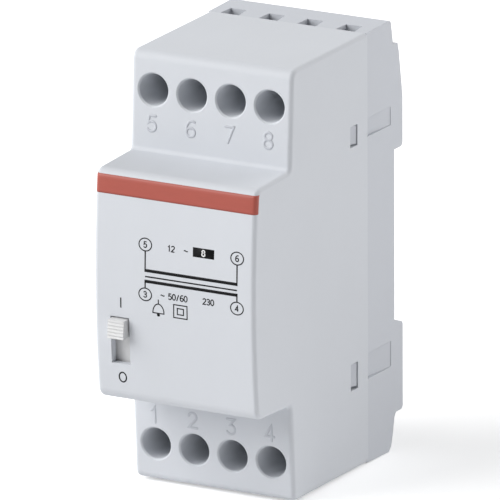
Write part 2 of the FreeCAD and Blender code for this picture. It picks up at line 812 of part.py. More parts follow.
def make_latch_spring():
    """The coil spring in the latch's window, between the base's stop and the window's top."""
    coil = doc.addObject("Part::Helix", "latch_coil")
    length = "(stop_top - window_top - 2 * spring_wire)"
    coil.setExpression("Height", bind(length))
    coil.setExpression("Pitch", bind(f"{length} / spring_turns"))
    coil.setExpression("Radius", bind("spring_radius"))
    wire = doc.addObject("Part::Circle", "latch_coil_wire")
    wire.setExpression("Radius", bind("spring_wire"))
    wire.Placement = FreeCAD.Placement(FreeCAD.Vector(value("spring_radius"), 0, 0),
                                       FreeCAD.Rotation(FreeCAD.Vector(1, 0, 0), 90))
    wire.setExpression("Placement.Base.x", bind("spring_radius"))
    spring = doc.addObject("Part::Sweep", "latch_spring")
    spring.Label = "latch_spring"
    spring.Sections = [wire]
    spring.Spine = (coil, ["Edge1"])
    spring.Solid = True
    spring.Frenet = True
    spring.setExpression("Placement.Base.y", bind("slide_gap + latch_plate / 2"))
    spring.setExpression("Placement.Base.z", bind("-stop_top + spring_wire"))
    doc.recompute()
    SUB_PARTS.append(spring)
    return spring


# Terminals

def place_terminal(body, level, column, turn=0):
    """Puts a terminal piece on its screw's axis; the lower row is turned half round."""
    angle = turn + (180 if level < 0 else 0)
    body.Placement = FreeCAD.Placement(FreeCAD.Vector(0, 0, 0),
                                       FreeCAD.Rotation(FreeCAD.Vector(0, 1, 0), angle))
    body.setExpression("Placement.Base.x", bind(column_place(column)))
    body.setExpression("Placement.Base.z", bind(f"{level} * terminal_height"))
    doc.recompute()


def make_terminal_screw(label):
    """A cheese-head screw that turns in its well, with a slot and a cross recess."""
    body = new_body(label)
    turned = add_sketch(body, "YZ_Plane")
    shank = "(screw_diameter / 2)"
    head = "(screw_head / 2)"
    add_polygon(turned, [
        ("-screw_head_front", "0"),
        ("-screw_tip", "0"),
        ("-screw_tip", f"{shank} - screw_point"),
        ("-screw_tip - screw_point", shank),
        ("-screw_head_back", shank),
        ("-screw_head_back", head),
        ("-screw_head_front + screw_bevel", head),
        ("-screw_head_front", f"{head} - screw_bevel"),
    ])
    screw = body.newObject("PartDesign::Revolution", f"{body.Name}_turned")
    screw.Profile = turned
    screw.ReferenceAxis = (turned, ["H_Axis"])
    doc.recompute()
    recess = add_sketch(body, "XZ_Plane", "screw_head_front + lap")
    cross, slot = "(screw_cross / 2)", "(screw_slot / 2)"
    side = f"({head} + lap)"
    add_polygon(recess, [
        (f"-{side}", f"-{slot}"), (f"-{slot}", f"-{slot}"), (f"-{slot}", f"-{cross}"),
        (slot, f"-{cross}"), (slot, f"-{slot}"), (side, f"-{slot}"),
        (side, slot), (slot, slot), (slot, cross),
        (f"-{slot}", cross), (f"-{slot}", slot), (f"-{side}", slot),
    ])
    pocket(body, recess, "screw_slot_depth + lap")
    return body


def make_terminal_clamp(label):
    """A box clamp: the screw runs in its front plate and draws its floor onto the bar."""
    body = new_body(label)
    frame = add_sketch(body, "XY_Plane")
    outer = "(clamp_inner + clamp_wall)"
    add_rectangle(frame, f"-{outer}", "-clamp_plate_front", outer,
                  "-clamp_floor_front + clamp_floor")
    add_rectangle(frame, "-clamp_inner", "-clamp_plate_back", "clamp_inner",
                  "-clamp_floor_front")
    pad(body, frame, "clamp_length", symmetric=True)
    thread = add_sketch(body, "XZ_Plane", "clamp_plate_front + margin")
    add_circle(thread, "0", "0", "screw_diameter + 2 * screw_play")
    pocket(body, thread, "clamp_plate + 2 * margin")
    edge_x = value(outer)

    def long_corner(edge):
        box = edge.BoundBox
        return box.ZLength > 1 and box.XLength < 0.01 and abs(abs(box.XMin) - edge_x) < 0.01
    fillet(body, "clamp_radius", long_corner)
    return body


def make_terminal_bar(label):
    """The fixed contact bar that passes through the clamp, with a tag for its lead."""
    body = new_body(label)
    strip = add_sketch(body, "XZ_Plane", "shelf_depth")
    half, tag = "(bar_width / 2)", "(bar_tag_width / 2)"
    neck = "(terminal_height - shelf_height)"
    add_polygon(strip, [
        (f"-{half}", f"-{neck}"),
        (f"-{tag}", f"-{neck} - bar_bevel"),
        (f"-{tag}", "-bar_tag_end"),
        (tag, "-bar_tag_end"),
        (tag, f"-{neck} - bar_bevel"),
        (half, f"-{neck}"),
        (half, "bar_reach - bar_bevel"),
        (f"{half} - bar_bevel", "bar_reach"),
        (f"-{half} + bar_bevel", "bar_reach"),
        (f"-{half}", "bar_reach - bar_bevel"),
    ])
    add_circle(strip, "0", "-bar_tag_end + bar_tag_width / 2", "bar_tag_hole")
    pad(body, strip, "bar_thickness")
    return body


def make_terminals():
    """Four terminals below, numbered 1 to 4, and four above, numbered 5 to 8."""
    number = 0
    for level in ROWS.values():
        for column in range(COLUMNS):
            number += 1
            screw = make_terminal_screw(f"terminal_screw_{number}")
            place_terminal(screw, level, column, turn=number * SCREW_TURN)
            place_terminal(make_terminal_clamp(f"terminal_clamp_{number}"), level, column)
            place_terminal(make_terminal_bar(f"terminal_bar_{number}"), level, column)


# Core and windings

def make_core():
    """The E and I stacks of the iron core, with the centre leg along Y."""
    hole_height = "(core_half - core_leg / 2)"
    stack = new_body("core_e")
    letter = add_sketch(stack, "YZ_Plane")
    add_polygon(letter, [
        ("-core_front", "core_half"), ("-core_front", "-core_half"),
        ("-window_back", "-core_half"), ("-window_back", "-core_inner"),
        ("-window_front", "-core_inner"), ("-window_front", "-core_leg"),
        ("-window_back", "-core_leg"), ("-window_back", "core_leg"),
        ("-window_front", "core_leg"), ("-window_front", "core_inner"),
        ("-window_back", "core_inner"), ("-window_back", "core_half"),
    ])
    for level in ROWS.values():
        add_circle(letter, "-core_front + core_leg / 2", f"{level} * {hole_height}", "core_hole")
    pad(stack, letter, "core_stack", symmetric=True)
    bar = new_body("core_i")
    strip = add_sketch(bar, "YZ_Plane")
    add_rectangle(strip, "-window_back", "-core_half", "-core_back_depth", "core_half")
    for level in ROWS.values():
        add_circle(strip, "-window_back + core_leg / 2", f"{level} * {hole_height}", "core_hole")
    pad(bar, strip, "core_stack", symmetric=True)


def make_bobbin():
    """The two-chamber former on the centre leg."""
    body = new_body("bobbin")
    length = "(bobbin_front - bobbin_back)"
    block = add_sketch(body, "XZ_Plane", "bobbin_back")
    add_centred(block, "flange_x", "flange_z")
    pad(body, block, length)
    bore = add_sketch(body, "XZ_Plane", "bobbin_front + margin")
    add_centred(bore, "(core_stack / 2 + bobbin_play)", "(core_leg + bobbin_play)")
    pocket(body, bore, f"{length} + 2 * margin")
    for front, back in winding_chambers():
        chamber = add_sketch(body, "XZ_Plane", front)
        add_centred(chamber, "(flange_x + margin)", "(flange_z + margin)")
        add_centred(chamber, "tube_x", "tube_z")
        pocket(body, chamber, f"({front}) - ({back})")


def winding_chambers():
    """Front and back depths of the primary and the secondary chamber."""
    primary = ("bobbin_front - bobbin_wall", "bobbin_front - chamber_place")
    secondary = ("bobbin_front - chamber_place - chamber_wall", "bobbin_back + bobbin_wall")
    return primary, secondary


def make_ring(label, front, back, inner, outer, outer_corner, inner_corner=None):
    """A rectangular ring round the centre leg, with rounded corners."""
    body = new_body(label)
    ring = add_sketch(body, "XZ_Plane", back)
    add_centred(ring, *outer)
    add_centred(ring, *inner)
    pad(body, ring, f"({front}) - ({back})")
    fillet(body, outer_corner, ring_corner(outer))
    if inner_corner:
        fillet(body, inner_corner, ring_corner(inner))
    return body


def ring_corner(half_sizes):
    """Picks the four corner edges of a rectangle round the centre leg."""
    across, up = (value(half) for half in half_sizes)

    def picked(edge):
        box = edge.BoundBox
        place = box.Center
        straight = max(box.XLength, box.ZLength) < 0.01
        return straight and abs(abs(place.x) - across) < 0.01 and abs(abs(place.z) - up) < 0.01
    return picked


def make_windings():
    """Primary, secondary and the tape over the primary."""
    tube = ("tube_x", "tube_z")
    wound = ("(flange_x - winding_edge)", "(flange_z - winding_edge)")
    taped = ("(flange_x - wrap_edge)", "(flange_z - wrap_edge)")
    (front, back), (second_front, second_back) = winding_chambers()
    make_ring("primary_winding", front, back, tube, wound, "winding_corner")
    make_ring("secondary_winding", second_front, second_back, tube, wound, "winding_corner")
    make_ring("winding_wrap", f"{front} - wrap_end", f"{back} + wrap_end", wound, taped,
              "winding_corner + winding_edge - wrap_edge", "winding_corner")


def make_thermal_fuse():
    """The fuse beside the core, against the bobbin's front flange."""
    fuse = doc.addObject("Part::Cylinder", "thermal_fuse")
    fuse.setExpression("Radius", bind("fuse_diameter / 2"))
    fuse.setExpression("Height", bind("fuse_length"))
    x, y = fuse_axis()
    fuse.setExpression("Placement.Base.x", bind(x))
    fuse.setExpression("Placement.Base.y", bind(f"-({y})"))
    fuse.setExpression("Placement.Base.z", bind("-fuse_length / 2"))
    SUB_PARTS.append(fuse)
    return fuse


def fuse_axis():
    """Place across the front, and depth, of the fuse."""
    return ("core_stack / 2 + fuse_diameter / 2 + fuse_gap",
            "bobbin_front + fuse_diameter / 2 + fuse_seat")


# Switch

def make_switch_knob():
    """The ribbed knob, its dust plate behind the slot and the stem into the block."""
    body = new_body("switch_knob")
    knob = add_sketch(body, "YZ_Plane", "-slot_place - slot_width / 2 + slide_gap")
    face = "(nose_depth + nose_bulge)"
    corners = [("-plate_back", "-knob_foot"), ("-plate_back", "-knob_top")]
    corners.append((f"-{face} - knob_top_rise", "-knob_top"))
    for rib in range(GRIP_RIBS):
        for share, sunk in (("grip_land", 0), ("1", 1)):
            part = f"({rib} + {share}) / ({GRIP_RIBS} + grip_land)"
            rise = f"(knob_top_rise + (knob_foot_rise - knob_top_rise) * {part})"
            corners.append((f"-{face} - {rise} + {sunk} * grip_depth",
                            f"-knob_top - knob_height * {part}"))
    corners.append((f"-{face} - knob_foot_rise", "-knob_foot"))
    add_polygon(knob, corners[::-1])
    pad(body, knob, "slot_width - 2 * slide_gap")
    dust = add_sketch(body, "XZ_Plane", "plate_back")
    add_rectangle(dust, "-slot_place - plate_width / 2", "-slot_bottom - plate_lap",
                  "-slot_place + plate_width / 2", "-slot_top + plate_lap + switch_travel")
    pad(body, dust, "plate_thickness")
    stem = add_sketch(body, "XZ_Plane", "stem_back")
    add_rectangle(stem, "-slot_place - stem_width / 2", f"-knob_middle - stem_height / 2",
                  "-slot_place + stem_width / 2", f"-knob_middle + stem_height / 2")
    pad(body, stem, "plate_back - stem_back + lap")
    return body


def make_switch_block():
    """The insulating block behind the nose that holds the fixed contacts."""
    body = new_body("switch_block")
    left = "(-cover_inner + block_gap)"
    right = "(-cradle_place - block_gap)"
    low = "(-nose_inner + block_foot)"
    high = "(-block_top)"
    case = add_sketch(body, "XZ_Plane", "block_back")
    add_rectangle(case, left, low, right, high)
    pad(body, case, "block_front - block_back")
    room = add_sketch(body, "XZ_Plane", "block_front - block_wall")
    add_rectangle(room, f"{left} + block_wall", f"{low} + block_wall",
                  f"{right} - block_wall", f"{high} - block_wall")
    pocket(body, room, "block_front - block_wall - block_back + margin")
    slit = add_sketch(body, "XZ_Plane", "block_front + margin")
    half = "(stem_height / 2 + slide_gap)"
    add_rectangle(slit, "-slot_place - stem_width / 2 - slide_gap",
                  f"-knob_middle - {half} - switch_travel",
                  "-slot_place + stem_width / 2 + slide_gap", f"-knob_middle + {half}")
    pocket(body, slit, "block_wall + 2 * margin")
    return body


def make_switch_bridge():
    """The moving contact on the end of the stem."""
    body = new_body("switch_bridge")
    plate = add_sketch(body, "XZ_Plane", "stem_back - bridge_plate")
    reach = "(contact_gap / 2 + contact_width)"
    add_rectangle(plate, f"-slot_place - {reach}", f"-knob_middle - bridge_height / 2",
                  f"-slot_place + {reach}", f"-knob_middle + bridge_height / 2")
    pad(body, plate, "bridge_plate")
    for side in (-1, 1):
        dome = add_sketch(body, "XZ_Plane", "stem_back - bridge_plate")
        add_circle(dome, f"-slot_place + {side} * ({reach} - contact_width / 2)", f"-knob_middle",
                   "contact_width - 2 * dome_edge")
        pad(body, dome, "bridge_plate", reverse=True)
    return body


def make_switch_contacts():
    """The two fixed contacts, each with a tail through the block's open back."""
    for name, side in (("switch_contact_a", -1), ("switch_contact_b", 1)):
        body = new_body(name)
        face = "(stem_back - 2 * bridge_plate - contact_lift)"
        reach = "(contact_gap / 2 + contact_width)"
        strip = add_sketch(body, "YZ_Plane", f"-slot_place - {reach}" if side < 0
                           else "-slot_place + contact_gap / 2")
        add_polygon(strip, [
            (f"-{face}", f"-knob_middle - bridge_height / 2"),
            (f"-{face} + contact_plate", f"-knob_middle - bridge_height / 2"),
            (f"-{face} + contact_plate", "-block_inner_top - contact_plate"),
            ("-contact_tail", "-block_inner_top - contact_plate"),
            ("-contact_tail", "-block_inner_top"),
            (f"-{face}", "-block_inner_top"),
        ])
        pad(body, strip, "contact_width")


# Leads

def make_lead(label, points):
    """A round lead along straight runs joined by tangent arcs."""
    corners = [FreeCAD.Vector(*(value(text) for text in point)) for point in points]
    edges = []
    start = corners[0]
    for before, corner, after in zip(corners, corners[1:], corners[2:]):
        incoming = (corner - before).normalize()
        outgoing = (after - corner).normalize()
        turn = incoming.getAngle(outgoing)
        run = min((corner - before).Length, (after - corner).Length)
        radius = 0.45 * run / math.tan(turn / 2)
        setback = 0.45 * run
        first = corner - incoming * setback
        last = corner + outgoing * setback
        bisector = (outgoing - incoming).normalize()
        centre = corner + bisector * (radius / math.cos(turn / 2))
        middle = centre - bisector * radius
        edges.append(Part.LineSegment(start, first).toShape())
        edges.append(Part.Arc(first, middle, last).toShape())
        start = last
    edges.append(Part.LineSegment(start, corners[-1]).toShape())
    path = Part.Wire(edges)
    ring = Part.Circle(corners[0], corners[1] - corners[0], value("lead_diameter / 2"))
    tube = path.makePipeShell([Part.Wire(ring.toShape())], True, False)
    expected = math.pi * value("lead_diameter / 2") ** 2 * path.Length
    if abs(tube.Volume / expected - 1) > 0.02:
        raise RuntimeError(f"{label} has volume {tube.Volume:.2f}, not {expected:.2f}")
    lead = doc.addObject("Part::Feature", label)
    lead.Shape = tube
    SUB_PARTS.append(lead)
    return lead


def make_leads():
    """Leads between the windings, the switch, the fuse and the contact bars."""
    tag = "-bar_front - lead_diameter / 2"
    tag_height = "(terminal_height - bar_tag_end + bar_tag_width / 2)"
    winding_face = "(flange_z - wrap_edge + lead_diameter / 2)"
    fuse_x, fuse_depth = fuse_axis()
    (front, _), (second_front, second_back) = winding_chambers()
    secondary_middle = f"-(({second_front}) + ({second_back})) / 2"
    contact_place = "(contact_gap / 2 + contact_width / 2)"
    tail_depth = "-contact_tail - lead_lap"
    tail_height = "-block_inner_top - contact_plate - lead_diameter / 2"
    make_lead("primary_lead", [
        ("flange_x - 4", "-window_front + 6", f"-{winding_face}"),
        ("flange_x - 3.8", "-window_front + 7.5", "-core_half + 2"),
        ("flange_x - 2.8", f"{tag} - 5.1", f"-{tag_height} + 2.4"),
        (column_place(3), tag, f"-{tag_height}"),
    ])
    make_lead("supply_lead", [
        (column_place(2), tag, f"-{tag_height}"),
        (column_place(2), f"{tag} - 7.6", f"-{tag_height} + 1.8"),
        ("0.5", "-core_front + 8", "-core_half - 2.4"),
        ("-cradle_place + 1.6", "-core_front + 0.4", "-core_half - 1.9"),
        ("-slot_place + 0.9", "-block_back + 3.65", "-core_half + 3.5"),
        ("-slot_place - 0.3", "-block_back + 2.85", f"{tail_height} - 7.55"),
        (f"-slot_place - {contact_place}", tail_depth, tail_height),
    ])
    make_lead("switch_lead", [
        (f"-slot_place + {contact_place}", tail_depth, tail_height),
        ("-slot_place + 2.7", "-block_back + 3.05", f"{tail_height} - 4.75"),
        ("-1", "-core_front - 2.8", f"{tail_height} - 1.75"),
        ("core_stack / 2 + 0.1", "-core_front - 3.2", "5.4"),
        (f"{fuse_x} + 0.4", f"-({fuse_depth}) - 3.4", "fuse_length / 2 + 6.9"),
        (fuse_x, f"-({fuse_depth})", "fuse_length / 2 + 4.5"),
        (fuse_x, f"-({fuse_depth})", "fuse_length / 2"),
    ])
    make_lead("fuse_lead", [
        (fuse_x, f"-({fuse_depth})", "-fuse_length / 2"),
        (fuse_x, f"-({fuse_depth})", f"-{winding_face} + 3.35"),
        ("flange_x - 3.6", f"-({fuse_depth}) + 1.2", f"-{winding_face} - 1.2"),
        ("flange_x - 4", f"-({front}) + 2.4", f"-{winding_face}"),
    ])
    make_lead("secondary_lead_a", [
        ("-flange_x + 4", secondary_middle, winding_face),
        ("-flange_x + 3.7", f"{tag} - 2.7", "core_half - 2"),
        ("-flange_x + 2.6", f"{tag} - 3.3", f"{tag_height} - 3.2"),
        (column_place(0), tag, tag_height),
    ])
    make_lead("secondary_lead_b", [
        ("-flange_x + 5.8", f"{secondary_middle} - 1.2", winding_face),
        ("-flange_x + 5.8", f"{tag} - 3.7", "core_half + 0.4"),
        ("-flange_x + 8.2", f"{tag} - 3.5", f"{tag_height} - 1.4"),
        (column_place(1), tag, tag_height),
    ])


def write_parts():
    """Checks every object, then writes one file for each sub-part."""
    doc.recompute()
    failed = [o.Name for o in doc.Objects if "Invalid" in o.State or "Error" in o.State]
    if failed:
        raise RuntimeError(f"failed objects: {failed}")
    for part in SUB_PARTS:
        if part.Shape.isNull() or not part.Shape.isValid():
            raise RuntimeError(f"{part.Label} has no valid shape")
        if len(part.Shape.Solids) != 1:
            raise RuntimeError(f"{part.Label} has {len(part.Shape.Solids)} solids")
    os.makedirs("parts", exist_ok=True)
    for part in SUB_PARTS:
        part.Shape.exportStep(f"parts/{part.Label}.step")
        print(f"{part.Label}: {len(part.Shape.Solids)} solid, {part.Shape.Volume:.1f} mm3")


make_front_cover()
make_rear_base()
make_switch_knob()
make_switch_block()
make_switch_bridge()
make_switch_contacts()
make_rail_latch()
make_latch_spring()
make_core()
make_bobbin()
make_windings()
make_thermal_fuse()
make_terminals()
make_leads()
write_parts()
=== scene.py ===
import json
import math

import bpy
from mathutils import Euler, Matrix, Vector
from mathutils.bvhtree import BVHTree


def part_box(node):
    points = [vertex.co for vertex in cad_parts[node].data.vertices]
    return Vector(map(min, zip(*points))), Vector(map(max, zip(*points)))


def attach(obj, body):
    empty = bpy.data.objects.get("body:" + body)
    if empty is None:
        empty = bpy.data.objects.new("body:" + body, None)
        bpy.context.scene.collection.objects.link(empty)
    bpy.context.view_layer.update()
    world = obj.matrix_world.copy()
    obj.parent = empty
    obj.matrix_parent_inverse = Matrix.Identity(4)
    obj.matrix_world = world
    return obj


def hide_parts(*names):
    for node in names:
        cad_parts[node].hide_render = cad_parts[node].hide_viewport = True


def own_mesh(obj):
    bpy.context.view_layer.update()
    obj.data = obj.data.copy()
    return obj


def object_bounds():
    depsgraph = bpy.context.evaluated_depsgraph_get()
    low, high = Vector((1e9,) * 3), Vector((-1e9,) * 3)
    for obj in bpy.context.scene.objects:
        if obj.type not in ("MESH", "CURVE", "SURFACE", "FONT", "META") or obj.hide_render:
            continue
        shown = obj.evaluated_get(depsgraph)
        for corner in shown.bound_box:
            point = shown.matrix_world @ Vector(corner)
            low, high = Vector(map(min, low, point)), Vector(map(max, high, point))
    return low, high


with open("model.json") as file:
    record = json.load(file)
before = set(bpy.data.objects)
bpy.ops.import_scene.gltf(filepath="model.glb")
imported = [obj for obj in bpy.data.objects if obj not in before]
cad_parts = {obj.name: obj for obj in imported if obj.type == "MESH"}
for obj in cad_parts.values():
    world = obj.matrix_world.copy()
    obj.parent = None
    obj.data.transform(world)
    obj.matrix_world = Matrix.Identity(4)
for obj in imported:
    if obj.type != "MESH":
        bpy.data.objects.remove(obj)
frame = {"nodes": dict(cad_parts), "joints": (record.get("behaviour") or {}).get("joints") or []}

bl_info = {
    "name": "Bell transformer",
    "version": (1, 0, 0),
    "blender": (4, 5, 0),
    "location": "3D View > Sidebar > Transformer",
    "description": "Finishes, signs, band, spring and stage of a rail-mounted bell transformer",
    "category": "Object",
}

# Metres. X runs across the front, Y runs back into the wall, Z is up.
MM = 0.001
CAD_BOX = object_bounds()


def srgb(red, green, blue):
    """A colour seen as these 8-bit values, in the linear values that shaders use."""
    def linear(level):
        share = level / 255
        return share / 12.92 if share <= 0.04045 else ((share + 0.055) / 1.055) ** 2.4
    return linear(red), linear(green), linear(blue)


def colour_property(name, description, default):
    """A colour that the user may change."""
    return bpy.props.FloatVectorProperty(name=name, description=description, default=default,
                                         subtype="COLOR", size=3, min=0, max=1)


def length_property(name, description, default):
    """A length in metres that the user may change."""
    return bpy.props.FloatProperty(name=name, description=description, default=default,
                                   unit="LENGTH", precision=6)


def share_property(name, description, default):
    """A number from 0 to 1 that the user may change."""
    return bpy.props.FloatProperty(name=name, description=description, default=default,
                                   subtype="FACTOR", min=0, max=1)


def power_property(name, description, default):
    """A lamp's power in watts that the user may change."""
    return bpy.props.FloatProperty(name=name, description=description, default=default,
                                   subtype="POWER", min=0)


def factor_property(name, description, default):
    """A factor from 0 up that the user may change."""
    return bpy.props.FloatProperty(name=name, description=description, default=default, min=0)


def angle_property(name, description, degrees):
    """An angle that the user may change, given in degrees."""
    return bpy.props.FloatProperty(name=name, description=description,
                                   default=math.radians(degrees), subtype="ANGLE")


def count_property(name, description, default, least):
    """A whole number that the user may change."""
    return bpy.props.IntProperty(name=name, description=description, default=default,
                                 min=least)


class PlasticLook(bpy.types.PropertyGroup):
    """Colours, grain and roughness of the moulded pieces."""
    cover: colour_property("Cover", "Light grey of the front cover", srgb(214, 217, 222))
    base: colour_property("Base", "Slightly darker grey of the base", srgb(207, 210, 216))
    knob: colour_property("Knob", "White of the switch knob", srgb(224, 224, 224))
    latch: colour_property("Latch", "Grey of the rail latch", srgb(150, 152, 156))
    block: colour_property("Block", "Black of the switch block", srgb(38, 38, 41))
    former: colour_property("Former", "Natural colour of the winding former", srgb(214, 206, 184))
    grain: length_property("Grain size", "Width of one pit of the spark-eroded skin", 0.22 * MM)
    relief: length_property("Grain depth", "Depth of the skin's pits", 0.006 * MM)
    edge: length_property("Edge round", "Radius of the edges that a mould leaves", 0.12 * MM)
    gloss: share_property("Roughness", "Roughness of the skin", 0.58)
    knob_gloss: share_property("Knob roughness", "Roughness of the switch knob", 0.62)
    block_gloss: share_property("Block roughness", "Roughness of the switch block", 0.5)


class MetalLook(bpy.types.PropertyGroup):
    """Colours and roughness of the metal pieces, and the depth of the painted shade in the screws'
    recess.
    """
    zinc: colour_property("Zinc", "Plated screws and clamps", srgb(196, 199, 203))
    brass: colour_property("Brass", "Contact bars", srgb(205, 172, 104))
    silver: colour_property("Silver", "Switch contacts", srgb(214, 196, 158))
    spring: colour_property("Spring steel", "Latch spring", srgb(168, 170, 174))
    iron: colour_property("Core iron", "Stamped sheets of the core", srgb(104, 106, 112))
    copper: colour_property("Copper", "Enamelled wire", srgb(176, 92, 48))
    roughness: share_property("Roughness", "Roughness of the plated pieces", 0.32)
    # Painted shade in a screw's recess darkens over this depth behind the head's face.
    recess: length_property("Recess", "Depth of the recess in a screw's head", 1.3 * MM)


class InsulationLook(bpy.types.PropertyGroup):
    """Colours of the tape, the fuse and the leads."""
    tape: colour_property("Tape", "Yellow tape round the windings", srgb(226, 190, 66))
    fuse: colour_property("Fuse", "White case of the fuse", srgb(228, 226, 216))
    primary: colour_property("Primary leads", "Red brown of the primary's and the fuse's leads",
                             srgb(150, 60, 48))
    supply: colour_property("Supply leads", "Brown of the supply's and the switch's leads",
                            srgb(92, 58, 44))
    secondary: colour_property("Secondary leads", "White of the secondary's leads",
                               srgb(214, 214, 206))


class BandSizes(bpy.types.PropertyGroup):
    """The coloured band across the top of the nose."""
    colour: colour_property("Colour", "Red of the band", srgb(168, 77, 63))
    foot: length_property("Foot", "Height of the band's lower edge", 18.72 * MM)
    top: length_property("Top", "Height of the band's upper edge", 22.5 * MM)
    film: length_property("Film", "Thickness of the printed film", 0.03 * MM)
    corner: length_property("Corner", "Radius of the nose's upright edges", 0.9 * MM)
    wrap: length_property("Wrap", "Width of the band on each side face", 0.1 * MM)


class SignSizes(bpy.types.PropertyGroup):
    """Printed signs on the nose and moulded numbers on the shoulders."""
    ink: colour_property("Ink", "Black of the print", srgb(14, 14, 16))
    white: colour_property("White", "White of the number on the black field",
                           srgb(235, 235, 235))
    # The moulded numbers' grey, darker than the cover's, is painted shade on the strokes.
    relief: colour_property("Moulded", "Tone of the moulded numbers", srgb(198, 201, 207))
    film: length_property("Film", "Thickness of the printed ink", 0.02 * MM)
    fine: length_property("Fine line", "Width of the printed numbers' lines", 0.22 * MM)
    thin: length_property("Thin line", "Width of the sign's printed leads", 0.28 * MM)
    thick: length_property("Thick line", "Width of a winding's printed line", 0.62 * MM)
    ring_width: length_property("Ring width", "Width of a circle's line round a number", 2.84 * MM)
    ring_height: length_property("Ring height", "Height of that line", 2.56 * MM)
    print_height: length_property("Print height", "Height of the printed numbers", 1.26 * MM)
    print_width: factor_property("Print width", "Widening of the printed numbers", 1.12)
    number_height: length_property("Number height", "Height of the moulded numbers", 3.45 * MM)
    number_width: factor_property("Number width", "Widening of the moulded numbers", 1.16)
    number_line: length_property("Number line", "Width of a moulded stroke", 0.54 * MM)
    number_rise: length_property("Number rise", "Height of a moulded stroke", 0.12 * MM)


# Places of the signs on the front, in millimetres to the right and up: middles, or the left, low,
# right and high ends of a box. The switch's ring has its half sizes after its middle.
LEFT_END, RIGHT_END = -6.46, 14.12
UPPER_LINE, CORE_LINE, LOWER_LINE = 4.4, 3.16, 2.2
UPPER_CIRCLES, LOWER_CIRCLES = 9.62, -0.5
CIRCLES = {"5": (LEFT_END, UPPER_CIRCLES), "6": (RIGHT_END, UPPER_CIRCLES),
           "3": (LEFT_END, LOWER_CIRCLES), "4": (RIGHT_END, LOWER_CIRCLES)}
ROWS = {"12": (-0.68, 9.53), "50/60": (0.88, -0.2), "230": (7.72, -0.1)}
TILDES = [(2.67, 9.6), (-2.52, -0.13)]
FIELD = (4.22, 8.66, 8.98, 10.58)
BELL = (-3.52, -1.17)
BELL_RIM, BELL_DOME, BELL_HALF, BELL_LAP, CLAPPER = -3.98, 1.88, 1.25, 0.1, 0.34
OUTER_SQUARE, INNER_SQUARE = (-0.08, -4.33, 2.92, -1.69), (0.74, -3.62, 2.12, -2.39)
SWITCH_STROKE = [(-12.0, -4.0), (-12.0, -1.93)]
SWITCH_RING = (-12.1, -18.5, 0.8, 1.0)
LOWER_NUMBERS, UPPER_NUMBERS, NUMBER_SHIFT = -30.27, 29.67, -0.12


class SpringSizes(bpy.types.PropertyGroup):
    """The coil spring of the rail latch."""
    wire: length_property("Wire", "Diameter of the wire", 0.44 * MM)
    turns: count_property("Turns", "Working turns between the closed ends", 7, 3)
    closed: factor_property("Closed turns", "Turns at each end that lie on each other", 1.25)
    steps: count_property("Steps", "Steps in one turn", 28, 8)
    sides: count_property("Sides", "Sides of the wire", 12, 6)


class StageSizes(bpy.types.PropertyGroup):
    """Camera, lamps and floor."""
    azimuth: angle_property("Azimuth", "Camera's turn to the right", 29.13)
    elevation: angle_property("Elevation", "Camera's angle above the level", 16.48)
    roll: angle_property("Roll", "Camera's turn about its own axis", -0.3)
    distance: length_property("Distance", "Camera's distance from its target", 2300 * MM)
    lens: bpy.props.FloatProperty(name="Lens", description="Focal length in millimetres",
                                  default=836.9)
    aim_right: length_property("Aim right", "Camera's offset to its right", 0.41 * MM)
    aim_up: length_property("Aim up", "Camera's offset upward", 1.6 * MM)
    depth: length_property("Target depth", "Depth of the camera's target", 28 * MM)
    ambient: share_property("Ambient", "Strength of the room's light", 0.14)
    bounce: colour_property("Bounce", "Grey of the floor in the light that it throws back",
                            srgb(244, 244, 245))
    lift: share_property("Lift", "Light of its own that keeps the seen floor white", 0.38)
    key: power_property("Key", "Power of the lamp above on the left", 39.5)
    fill: power_property("Fill", "Power of the lamp on the right", 7.5)
    back: power_property("Back", "Power of the lamp behind", 9.5)


# Places and widths of the softboxes round the object, and half of the floor's width, in metres
LAMPS = {"key": ((-1.15, -1.02, 1.04), 1.6), "fill": ((1.55, 0.42, 0.4), 0.8),
         "back": ((0.6, 1.2, 0.9), 1.0)}
FLOOR_HALF = 1.5
WHITE, BLACK = (1.0, 1.0, 1.0), (0.0, 0.0, 0.0)
ROOM_TINT = (0.97, 0.98, 1.0)


# Materials

class Signal:
    """A socket among some nodes; arithmetic on it adds Math nodes."""

    def __init__(self, nodes, socket):
        self.nodes = nodes
        self.socket = socket

    def math(self, operation, *values):
        """A Math node on one or two values."""
        return self.nodes.node("ShaderNodeMath", {"operation": operation}, dict(enumerate(values)))

    def __add__(self, other):
        return self.math("ADD", self, other)

    __radd__ = __add__

    def __sub__(self, other):
        return self.math("SUBTRACT", self, other)

    def __rsub__(self, other):
        return self.math("SUBTRACT", other, self)

    def __mul__(self, other):
        return self.math("MULTIPLY", self, other)

    __rmul__ = __mul__

    def __pow__(self, other):
        return self.math("POWER", self, other)

    def __or__(self, other):
        return self.math("MAXIMUM", self, other)

    def wave(self):
        """The sine of the value, from 0 to 1."""
        return self.math("SINE", self) * 0.5 + 0.5

    def swing(self, reach):
        """How far the value, from 0 to 1, is from its middle, times a reach."""
        return (self - 0.5) * reach


